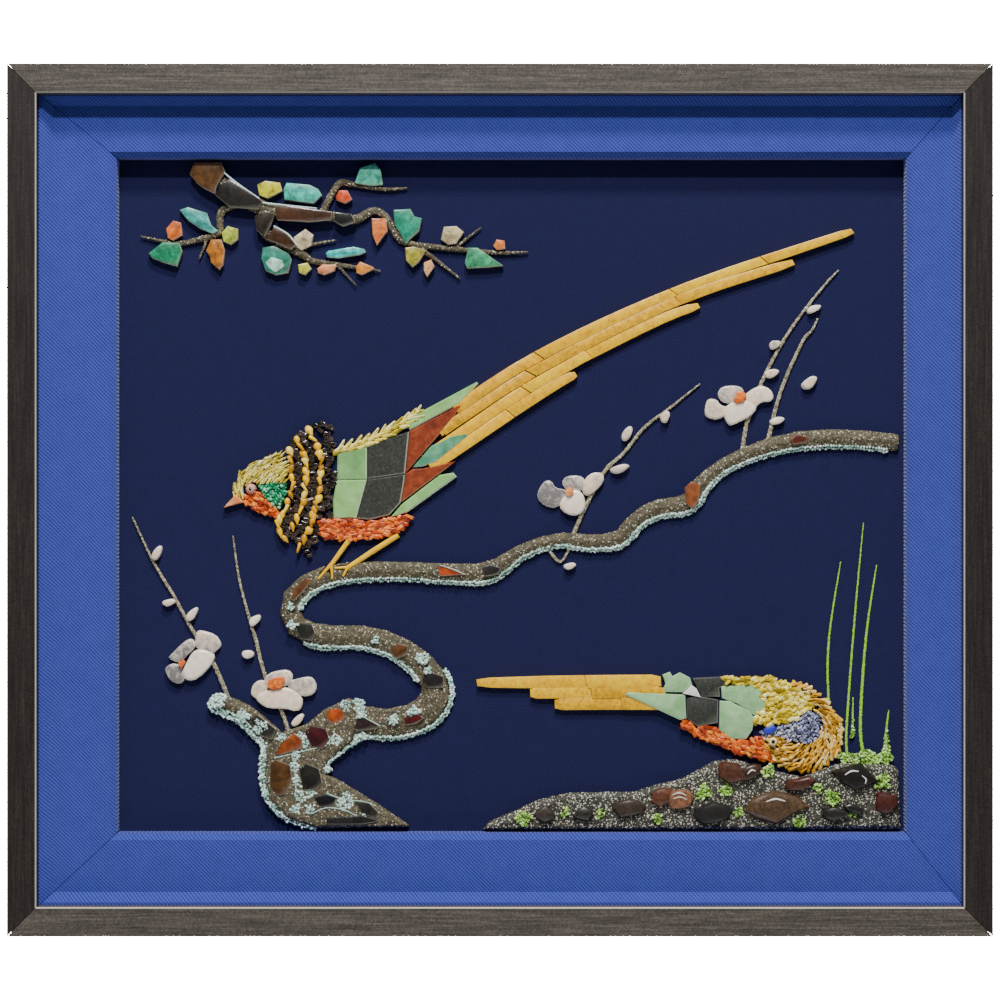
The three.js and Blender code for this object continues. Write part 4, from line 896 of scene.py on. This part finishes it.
branch = [(243, 33.2, 11), (210, 36.2, 11.5), (177, 34.5, 11.5), (150, 27, 10), (130, 17, 9), (118, 6, 11),
          (110.6, -4.5, 12), (93.4, -7.5, 11.5), (79.6, -14, 11), (67, -27, 10), (49.5, -29, 10), (28, -27.5, 8.5),
          (6, -35, 8.5), (-14, -47.5, 13), (-38, -48.5, 12), (-72.7, -46.8, 11), (-104, -48, 12.5), (-126, -54, 13.5),
          (-138.6, -67, 14), (-136, -81, 14), (-120, -88, 14.5), (-94.7, -88.4, 14.5), (-72.7, -94.5, 15),
          (-54, -108.5, 17), (-47, -123.5, 20), (-55, -136.5, 20), (-76, -143, 19), (-101, -141.6, 20),
          (-122, -153, 24)]
finishPiece(roughen(copyNode("winding_branch"), *gritSizes["branch"]), "branchGrit", looks["bark"],
            "winding_branch", 50)

twigs = [
    [(-176, -132, 3), (-187.5, -104.7, 2.8), (-201.9, -82.1, 2.6), (-211.9, -63.3, 2.2), (-225.1, -41.4, 1.9),
     (-238.3, -13.2, 1.2)],
    [(-139.8, -150, 3), (-144.8, -134.2, 2.8), (-154.9, -112.9, 2.6), (-160.5, -90.9, 2.4), (-164.3, -78.4, 2.2),
     (-171.2, -52, 1.8), (-174.9, -25.1, 1.1)],
    [(38, -27, 3), (46, -8, 2.8), (58.9, 15.7, 2.6), (70.2, 26.3, 2.4), (83.4, 42.6, 2.1), (99.7, 55.2, 1.8),
     (118.5, 70.2, 1.1)],
    [(144.8, 26, 3), (148, 45.8, 2.8), (157.4, 71.5, 2.6), (169.3, 94.7, 2.2), (181.8, 113.5, 2), (196.9, 132.3, 1.8),
     (205.7, 141.7, 1.2)],
    [(160.5, 32, 3), (169.3, 65.8, 2.6), (183.1, 97.2, 2.2), (188.7, 103.5, 1.8), (192.5, 111.6, 1.2)],
    [(22.6, -33, 2.2), (30.7, -41.6, 2), (37.6, -31, 1.4)],
]
finishPiece(roughen(joinAll([ropeLine(twig, 0.75, 2, 1.2) for twig in twigs]), *gritSizes["twigs"]), "twigGrit",
            looks["twig"], None, 60)

crust = {"perRun": 560, "perPoint": 13, "scatter": 0.5, "laneStep": 1.5, "rimLanes": (-1.6, 0.16, 1.76),
         "length": (1.5, 2.5), "width": (1.3, 2), "thick": (1.4, 2.4),
         "patch": (1.4, 1.9, 4.4)}  # spacing, size and base of the crumbs in a patch of lichen
stray = (-crust["scatter"], crust["scatter"])
edges = []  # crumbs of turquoise along the lower edge of the branch
for start, end, side in ((0.01, 0.655, -1), (0.7, 0.83, 1), (0.835, 0.985, -1)):
    count = int((end - start) * crust["perRun"])
    for i in range(count):
        x, z, dx, dz, width = alongPath(branch, start + (end - start) * i / count)
        for lane in (0, 1):
            out = side * (width / 2 - 0.7 + lane * crust["laneStep"] + random.uniform(*stray))
            edges.append((x + dz * out, z - dx * out, 0.5 + (1 - lane) * 1.4))
rims = [[(-180, -128, 0), (-184, -126.6, 0), (-187.4, -129.4, 0), (-186, -133.6, 0), (-170.6, -141.4, 0),
         (-161, -150.6, 0), (-154.6, -158, 0), (-155.6, -166, 0), (-155.6, -178, 0), (-151.6, -191.6, 0),
         (-141, -202, 0), (-122, -208.2, 0)],
        [(-92, -150.6, 0), (-101, -155, 0), (-110.4, -162, 0), (-116.4, -168, 0), (-114.6, -173.4, 0)]]
for rim in rims:
    count = len(rim) * crust["perPoint"]
    for i in range(count):
        x, z, dx, dz, _ = alongPath(rim, i / count)
        for lane in crust["rimLanes"]:
            out = lane + random.uniform(*stray)
            edges.append((x + dz * out, z - dx * out, 0.8 + random.uniform(0, 2.5)))
places = [(x, z, h + random.uniform(0, 0.5), random.uniform(0, 360), random.uniform(-30, 30), 0,
           tuple(random.uniform(*crust[key]) for key in ("length", "width", "thick")), random.random())
          for x, z, h in edges]
lichen = [(-182.7, -130, 4), (-168.6, -138, 5), (-157.2, -144.1, 5.4), (-144.4, -151.2, 3.4), (-130.8, -152, 6.4),
          (-134.6, -163, 4), (-135.8, -170, 4), (-135, -178, 4), (-129.9, -186.3, 7), (-135.2, -196.9, 4.6),
          (-126.4, -196, 4), (-103.5, -192.6, 7), (-92, -199.5, 2.6), (-103.5, -131.8, 4.4), (-95.6, -131, 5),
          (-94.7, -136.6, 4.2), (-74.5, -140.6, 4), (-61.3, -135.4, 4.4), (-111.4, -153, 5.4), (-138.1, -68.9, 3),
          (-137.3, -80.8, 3.4), (-85.3, -90.9, 3.4), (-56.3, -101.5, 5), (-52.4, -109.4, 3.6)]
for x, z, radius in lichen:
    places += crumbs(disc(x, z, radius), *crust["patch"])
finishPiece(layCopies("granule", places), "turquoiseCrumbs", looks["turquoise"], None, 20)

gems = [  # height of the base, colour, outline
    (3.0, "5e3a1c", [(-138.6, -65.1), (-136.3, -58.3), (-128.4, -51.5), (-125, -52.7), (-130.7, -60.6),
                     (-136.3, -66.2)]),
    (3.0, "24241f", [(-135.2, -83.1), (-131.8, -79.8), (-125, -80.9), (-122.8, -86.5), (-125, -91), (-131.8, -89.9)]),
    (3.0, "54361a", [(-75.4, -96), (-71, -92.6), (-64.4, -94.6), (-65.6, -100), (-71.6, -102.4), (-74.6, -99.6)]),
    (3.0, "211f1d", [(-56.2, -115.9), (-51.7, -110.2), (-42.6, -113.6), (-42.6, -120.4), (-52.8, -120.4)]),
    (3.0, "4c100e", [(-67.5, -139.6), (-59.6, -136.2), (-55, -139.6), (-59.6, -142.9), (-66.3, -144.1)]),
    (3.0, "2c201c", [(-100.6, -140.7), (-95.7, -137.3), (-83.3, -144.1), (-84.4, -146.3), (-95.7, -147.5),
                     (-100.2, -145.2)]),
    (3.6, "9c4414", [(-116, -135), (-110.3, -132.8), (-104.7, -135), (-105.1, -140.7), (-111.5, -142.9),
                     (-116, -139.6)]),
    (4.2, "380e12", [(-129.5, -148.6), (-125, -144.1), (-116, -146.3), (-113.7, -153.1), (-118.2, -158.7),
                     (-125, -157.6)]),
    (4.2, "7e3c14", [(-147.6, -162.1), (-145.3, -156.5), (-136.3, -148.6), (-130.7, -153.1), (-131.8, -158.7),
                     (-143.1, -162.1)]),
    (3.0, "a44418", [(-46, -44.8), (-43.8, -43.6), (-29.1, -49.7), (-44.9, -50.4)]),
    (4.2, "4a3014", [(-151, -168.9), (-147.6, -165.5), (-138.6, -168.9), (-137.4, -177.9), (-140.8, -187),
                     (-146.4, -188.1), (-151, -182.4)]),
    (4.2, "1f1c16", [(-132.9, -172.3), (-128.4, -167.8), (-120.5, -171.2), (-118.2, -180.2), (-122.8, -184.7),
                     (-130.7, -184.7)]),
    (4.2, "101014", [(-123.9, -189.2), (-116, -187), (-109.2, -189.2), (-111.5, -194.9), (-120.5, -194.9)]),
    (4.2, "24231f", [(-97.9, -191.5), (-88.9, -192.6), (-83.3, -198.2), (-84.4, -202.8), (-93.4, -199.4)]),
    (4.2, "201e1c", [(-116, -201.6), (-93.4, -200.5), (-82.1, -203.9), (-93.4, -206.1), (-116, -206.1)]),
    (3.4, "26241f", [(-164.5, -140.7), (-158.9, -137.3), (-147.6, -146.3), (-149.8, -153.1), (-156.6, -150.8)]),
    (3.0, "23211e", [(-18.4, -45), (-14, -43), (-6.4, -45.6), (-8, -49.4), (-17, -50.8)]),
    (3.0, "7c4422", [(108.6, 5), (112.6, 8.8), (118.4, 7), (117.4, -3.6), (113.4, -8.4), (109.4, -4.6)]),
    (3.0, "5e2a1c", [(174, 34.6), (178.8, 38.4), (186.4, 36.4), (184.6, 32.8), (177, 32)]),
]
gemCut = {"height": 2.6, "bevel": 0.8}
for k, (base, colour, outline) in enumerate(gems, 1):
    finishPiece(cutStone(outline, base=base, **gemCut), f"barkStone{k}", gemLook(f"polishedAgate{k}", colour),
                None, 30)
seams = [  # pale lines of grit between the stones
    [(-96, -136.8, 1), (-89, -140.6, 1), (-82, -144.4, 0.8)],
    [(-148.7, -164.4, 1), (-134, -161, 1), (-116, -156.5, 1.2)],
    [(-45, -43.6, 0.8), (-37, -46, 0.8), (-29, -49.4, 0.8)],
    [(-116, -186.4, 1), (-104.7, -190.4, 1), (-93.4, -191.5, 1), (-86.6, -193.7, 0.8)],
    [(-125, -199.4, 1), (-116, -195.6, 1), (-104.7, -197.1, 1), (-95.7, -201.6, 0.8)],
    [(-137, -164, 1.2), (-135.6, -174, 1), (-135, -186, 1)],
]
lines = [ropeLine([(x, z, 0.7 * width) for x, z, width in seam], 0.8, 1, 6.0) for seam in seams]
finishPiece(toneAll(joinAll(lines), 0.3), "trunkSeams", looks["turquoise"], None, 60)
print("the branch is laid")

# the leafy branch

sprays = [
    [(-186, 199, 5), (-178, 194, 10), (-168, 187, 12), (-152.4, 179.4, 9), (-132.3, 176.8, 7),
     (-110.4, 175, 6.4), (-97.8, 173.4, 6), (-86.5, 178.9, 5), (-78.4, 174.3, 5), (-71.5, 162.4, 4.6),
     (-63.3, 158, 4.2), (-48.3, 156.1, 3.8), (-29.5, 154.2, 3.2), (-5, 152.4, 2.6), (10.7, 153, 1.4)],
    [(-170, 184, 5), (-181.8, 178.7, 5), (-183.1, 170.5, 4.6), (-184, 164.9, 4.2), (-195, 161.1, 4),
     (-206.3, 158.6, 3.2), (-216.9, 159.3, 2.6), (-233.2, 163, 1.2)],
    [(-155.5, 178, 9), (-154.6, 166, 8), (-147, 160, 6.4), (-141.7, 157, 6), (-130.4, 151, 5), (-124.8, 147.3, 4),
     (-107.2, 144.8, 3), (-82.1, 141.1, 1.3)],
    [(-120, 175, 5), (-114, 187, 4.6), (-107.8, 196.3, 4.4), (-99.7, 195.5, 3.7), (-80.9, 192.5, 2.6),
     (-65.2, 193.1, 1.3)],
    [(-191.2, 161, 2.4), (-196.3, 148, 1.1)], [(-109.7, 145, 2.4), (-97.2, 131.7, 1.1)],
    [(-36, 155, 2.6), (-18.8, 168.7, 1.2)], [(-63.3, 158, 3.4), (-50.8, 150.5, 3), (-32, 136.1, 1.2)],
    [(-134.8, 155, 2.6), (-123.5, 158, 2.4), (-109.7, 160.5, 1.2)],
]
finishPiece(roughen(joinAll([ropeLine(spray, 0.7, 3, 1.6) for spray in sprays]), *gritSizes["leafy"]), "leafyBark",
            looks["bark"], "leafy_branch", 60)
barkFacets = [
    ("583a1e", [(-201.8, 201.5), (-199.1, 208.9), (-182, 208.9), (-179.4, 202.9), (-184.6, 193.6), (-185.6, 188.9),
                (-191.2, 191.5), (-196.5, 195)]),
    ("25221e", [(-185.6, 188.4), (-183.3, 193.6), (-176.7, 198.4), (-160.9, 188.2), (-155.7, 184.1), (-158.3, 179.2),
                (-176.7, 180.8)]),
    ("2e261e", [(-160.9, 175.2), (-154.4, 178.8), (-148.6, 176.5), (-150.4, 169.9), (-154.4, 161.7), (-159.6, 166)]),
    ("442a1a", [(-147.8, 179.2), (-139.9, 181.8), (-121.4, 179.2), (-111.8, 177.8), (-112.8, 172.6), (-126.7, 171.4),
                (-134.6, 171.9), (-146.8, 172.6)]),
    ("242422", [(-110.6, 177.8), (-100.4, 176.5), (-97.7, 171.2), (-105.6, 168.6), (-111.4, 172)]),
    ("3c2414", [(-153.8, 160.7), (-149.1, 168.6), (-139.9, 163.4), (-134.6, 156.8), (-138.6, 154.1), (-147.8, 158.4)]),
]
facetCut = {"height": 3.4, "base": 3.0, "bevel": 1.1}
for k, (colour, outline) in enumerate(barkFacets, 1):
    finishPiece(cutStone(outline, **facetCut), f"leafyBarkStone{k}", gemLook(f"smokyAgate{k}", colour),
                None, 30)
seams = [
    [(-180.6, 202.9, 1), (-172.8, 196.3, 1.2), (-158.3, 186, 1)],
    [(-156, 183.6, 1), (-146, 182.4, 1), (-122, 180, 0.8)],
    [(-149, 169, 0.9), (-140, 163.8, 0.9), (-134.4, 157, 0.9)],
]
finishPiece(toneAll(joinAll([ropeLine(seam, 0.8, 1, 5.4) for seam in seams]), 0.55), "leafySeams",
            looks["turquoise"], None, 60)
leaves = [
    ("d0c828", [(-159.6, 195), (-154.4, 197.6), (-145.1, 196.3), (-143.8, 191), (-153, 186.3), (-158.3, 188.4)]),
    ("40b09c", [(-143, 192.3), (-141.2, 196.3), (-126.7, 195), (-121.4, 192.3), (-118.8, 188.4), (-124.1, 183.1),
                (-134.6, 184.4), (-142.5, 185.7)]),
    ("3c9c90", [(-208.3, 179.2), (-203.1, 181), (-191.2, 177.3), (-188.6, 169.9), (-184.1, 166), (-187.3, 164.1),
                (-195.2, 167.3), (-203.1, 172.6)]),
    ("dc6a24", [(-216.8, 167.3), (-212.3, 172.6), (-207.5, 171.2), (-206.5, 163.4), (-212.3, 159.9), (-215.7, 161.5)]),
    ("1e8058", [(-227.8, 152), (-218.9, 158.9), (-208.3, 158.6), (-206.5, 152.8), (-209.7, 143.6), (-218.9, 146.2),
                (-225.5, 148.9)]),
    ("aab83c", [(-182, 164.7), (-178.1, 169.1), (-171.5, 167.3), (-171.5, 160.7), (-176.2, 157.3), (-180.7, 159.4)]),
    ("b06c20", [(-191.7, 153.6), (-188.6, 160.7), (-182, 160.7), (-179.9, 154.1), (-180.7, 144.9), (-183.3, 141.5),
                (-188.6, 146.2), (-189.4, 150.2)]),
    ("2a7c66", [(-156.2, 155.5), (-149.1, 156.8), (-139.9, 152), (-137.8, 147.6), (-139.9, 139.7), (-147.8, 138.3),
                (-154.4, 141), (-157, 148.9)]),
    ("c8b48c", [(-136.7, 162), (-129.3, 167.3), (-124.1, 163.4), (-125.4, 156.8), (-132, 153.6), (-135.9, 156.8)]),
    ("c0c03c", [(-134.1, 144.9), (-128, 146.2), (-125.4, 142.3), (-129.3, 138.3), (-133.3, 139.7)]),
    ("e88a5c", [(-122, 142.3), (-118.8, 144.9), (-109.6, 144.9), (-110.9, 141), (-117.5, 138.3), (-121.4, 139.7)]),
    ("48b094", [(-98.3, 196.3), (-95.1, 205.5), (-85.9, 208.6), (-82, 204.2), (-80.6, 195), (-87.2, 194.2),
                (-96.4, 195.5)]),
    ("dc7438", [(-88, 173.9), (-78.8, 173.9), (-77.7, 166), (-84.6, 156.8), (-87.2, 163.4)]),
    ("248a6c", [(-74.1, 179.2), (-63.5, 179.9), (-60.9, 175.2), (-56.2, 173.9), (-57.7, 166), (-63.5, 160.7),
                (-66.2, 157.3), (-70.1, 164.7), (-73.5, 169.9)]),
    ("989030", [(-66.9, 155.5), (-60.9, 156.2), (-53.5, 153.6), (-58.3, 146.2), (-62.2, 143.1), (-66.2, 147.6)]),
    ("e0a068", [(-55.1, 146.2), (-50.4, 148.1), (-48.2, 143.6), (-53, 137), (-55.1, 141)]),
    ("b8a87c", [(-44.3, 160.7), (-42.5, 168.6), (-34.6, 169.1), (-29.8, 165.2), (-34.6, 158.1), (-39.8, 157.3)]),
    ("3c9868", [(-29.3, 146.2), (-27.2, 155.5), (-21.4, 155.5), (-5.1, 144.1), (-16.1, 143), (-28, 142.6)]),
    ("dc7838", [(-11.4, 156.8), (-9.5, 160.7), (-4.3, 159.9), (-3.8, 154.7), (-9.5, 154.1)]),
    ("e0882c", [(-97.7, 143.6), (-95.1, 146.8), (-87.2, 143.6), (-85.9, 142.3), (-93.8, 138.3), (-97.2, 139.7)]),
    ("d85028", [(-110.4, 187.1), (-108.3, 191.5), (-103, 191.5), (-99.9, 185.7), (-104.3, 183.1), (-109.6, 185.2)]),
    ("28b0a8", [(-116.7, 152), (-114.9, 153.6), (-99.1, 156.2), (-92.5, 154.7), (-91.2, 152.8), (-95.1, 151),
                (-108.3, 148.9), (-115.7, 149.4)]),
]
leafCut = {"height": 3.8, "base": 0.6, "bevel": 1.1}
for k, (colour, outline) in enumerate(leaves, 1):
    node = "leaf_rod" if k == len(leaves) else None  # the last leaf lies free and is a solid of its own
    finishPiece(cutStone(outline, **leafCut), f"leafStone{k}",
                gemLook(f"polishedLeafStone{k}", colour, 5, 0.3), node, 30)
patch = [(-154.4, 146.2), (-150.4, 149.4), (-143.8, 147.6), (-142.5, 143.6), (-147.8, 139.7), (-151.7, 142.3)]
finishPiece(cutStone(patch, 0.6, 4.3, bevel=0.25), "leafPatch", gemLook("paleLeafPatch", "9cd4b4", 5, 0.3),
            None, 30)
print("the leafy branch is laid")

# the bank and the grass

finishPiece(roughen(copyNode("rocky_bank"), *gritSizes["bank"]), "bankGrit", looks["rock"],
            "rocky_bank", 50)
bank = {"uneven": 0.08, "veinHeight": 9.9, "mossHeight": 6.2, "tuftHeight": 2.2,
        "moss": (1.5, 1.8)}  # spacing and size of the moss crumbs
boulderCut = {"height": 5.0, "base": 4.8, "dome": 3, "keep": 0.66}
boulders = [  # middle, length, width, turn and colour
    (74, -195.6, 23, 14, 5, "382c22"), (94, -188.6, 16, 14, 20, "5c3422"), (105, -190, 18, 15, 0, "7c5238"),
    (139.6, -173.4, 22, 14, -20, "4c2c1c"), (165.5, -194.6, 40, 21, 4, "4e3a26"), (126, -199, 26, 15, 6, "1e1c1a"),
    (180.6, -180.4, 20, 10, 10, "482418"), (215.7, -176.2, 30, 18, -12, "16120f"), (202.2, -199, 20, 9.4, 0, "201d19"),
    (234, -192.9, 16, 17, 30, "441c16"), (21, -199.4, 15, 10, 0, "38302a"), (45.6, -198.8, 14, 9.4, 10, "2a2622"),
    (150, -173, 14, 11, 30, "3a2418"), (214, -196, 12, 7, -20, "1c1a17"),
]
for k, (x, z, length, width, turn, colour) in enumerate(boulders, 1):
    rough = bank["uneven"]
    outline = [(px + random.uniform(-rough, rough) * length, pz + random.uniform(-rough, rough) * width)
               for px, pz in chipOutline(x, z, length, width, turn, 0.25, 8, 0.2)]
    finishPiece(cutStone(outline, **boulderCut), f"bankStone{k}", gemLook(f"tumbledAgate{k}", colour, 2.4, 0.3, 0.0),
                None, 38)
streaks = [  # white quartz veins on the tops of some stones
    [(100.6, -187, 0.5), (105, -185.8, 0.9), (109, -187.4, 0.5)],
    [(101, -189.4, 0.4), (105.4, -188.4, 0.7), (109.4, -190, 0.4)],
    [(208.4, -174.6, 0.6), (212.4, -172.2, 1.3), (217, -172.4, 0.6)],
    [(219, -175, 0.5), (221.6, -177.4, 1.0), (221, -180, 0.5)],
    [(159, -191.4, 0.6), (165, -189.6, 1.4), (171, -191, 0.6)],
    [(147.4, -174, 0.6), (150, -171.6, 1.2), (152.6, -172.2, 0.5)],
]
finishPiece(joinAll([ropeLine(line, 0.7, 1, bank["veinHeight"]) for line in streaks]), "whiteVeins", looks["white"],
            None, 60)
mossBeds = [(7.5, -201.3, 6), (33.9, -198.8, 4), (55.8, -199.5, 4), (91.5, -202, 4.4), (120.4, -186.2, 6),
            (134.2, -185, 5), (142.3, -198.2, 4), (161.1, -173.1, 6), (200.6, -188.7, 6), (213.2, -198.2, 5),
            (232, -179.3, 6.4), (180.6, -205, 5), (192, -183, 4)]
places = []
for x, z, radius in mossBeds:
    places += crumbs(disc(x, z, radius), *bank["moss"], bank["mossHeight"])
for x, width in ((209, 5), (214, 4), (221, 8), (228, 5), (234, 6)):
    places += crumbs(disc(x, -166 + random.uniform(-1, 2), width), *bank["moss"], bank["tuftHeight"])
places += crumbs([(232.4, -166), (234.4, -152), (235.8, -146), (236.6, -152), (238.4, -166)], 1.4, 1.7, 1.0)
places += crumbs([(212.6, -152), (214, -140), (215, -139), (216, -152)], 1.4, 1.6, 0.6)
finishPiece(layCopies("granule", places), "mossCrumbs", looks["moss"], None, 20)
blades = [
    [(204, -150, 1.6), (199.4, -129.8, 1.7), (199.4, -90.9, 1.6), (206.9, -41.4, 0.9)],
    [(211, -166, 1.9), (210.4, -150, 1.8), (212.6, -116, 1.6), (216.6, -66, 1.4), (221.2, -16.9, 0.9)],
    [(222, -166, 2.4), (219.2, -145.3, 2.2), (222.6, -90.9, 1.8), (229.4, -43.5, 1)],
    [(236, -166.6, 3.4), (234.6, -158, 2.2), (237, -134.8, 0.9)],
    [(214.2, -152, 1.6), (214.6, -126.6, 0.9)],
]
finishPiece(roughen(joinAll([ropeLine(blade, 0.8, 2, 1.0) for blade in blades]), *gritSizes["grass"]), "grassLines",
            looks["lime"], "grass_blades", 60)
print("bank and grass are laid")

for master in masters.values():
    bpy.data.objects.remove(master)

# light, floor and camera

studio = {"distance": 1.6, "spanMm": 618, "keyPower": 88, "topPower": 74, "backPower": 40, "ambient": 0.2,
          "backdrop": 30, "sensor": 36}
frontY = cadLow[1]
clearPicks()
bpy.ops.mesh.primitive_plane_add(size=2.0, location=(0, 0.1, cadLow[2] - 0.6))
floor = bpy.context.object
floor.name = "studioFloor"
paper, tree, shader = startLook("whitePaper", 0.9)
shade = addNode(tree, "TexNoise", {"Scale": 3.0})
tint = addNode(tree, "ValToRGB", None, {0: (shade, 0)})
fillRamp(tint, [(0.3, "f2f2f0"), (0.7, "f7f7f6")])
tree.links.new(tint.outputs[0], shader.inputs["Base Color"])
floor.data.materials.append(paper)

world = bpy.context.scene.world or bpy.data.worlds.new("studio")
bpy.context.scene.world = world
world.use_nodes = True
tree = world.node_tree
tree.nodes.clear()
soft = addNode(tree, "Background", {"Color": linear("f4f6fb"), "Strength": studio["ambient"]})
white = addNode(tree, "Background", {"Color": (1, 1, 1, 1), "Strength": studio["backdrop"]})
rays = addNode(tree, "LightPath")
both = addNode(tree, "MixShader", None, {0: (rays, "Is Camera Ray"), 1: (soft, 0), 2: (white, 0)})
addNode(tree, "OutputWorld", None, {0: (both, 0)})


def addLamp(name, place, target, size, power):
    lamp = bpy.data.lights.new(name, "AREA")
    lamp.size = size
    lamp.energy = power
    holder = bpy.data.objects.new(name, lamp)
    holder.location = place
    holder.rotation_euler = (Vector(target) - Vector(place)).to_track_quat("-Z", "Y").to_euler()
    bpy.context.collection.objects.link(holder)


# two lamps above the picture: the top rail throws a dark and then a paler band on the blue cloth
addLamp("keyLamp", (-0.3, -2.2, 2.45), (0, 0, 0), 0.16, studio["keyPower"])
addLamp("topLamp", (0.2, -1.3, 2.5), (0, 0, 0), 0.3, studio["topPower"])
addLamp("backLamp", (-0.5, 2.3, 1.6), (0, 0, 0), 0.8, studio["backPower"])  # for views of the back only

lens = bpy.data.cameras.new("camera")
lens.sensor_width = studio["sensor"]
lens.lens = studio["sensor"] * studio["distance"] / (studio["spanMm"] * mm)
camera = bpy.data.objects.new("camera", lens)
camera.location = (0, frontY - studio["distance"], 0)
camera.rotation_euler = (math.radians(90), 0, 0)
bpy.context.collection.objects.link(camera)
bpy.context.scene.camera = camera

print("the scene is ready")
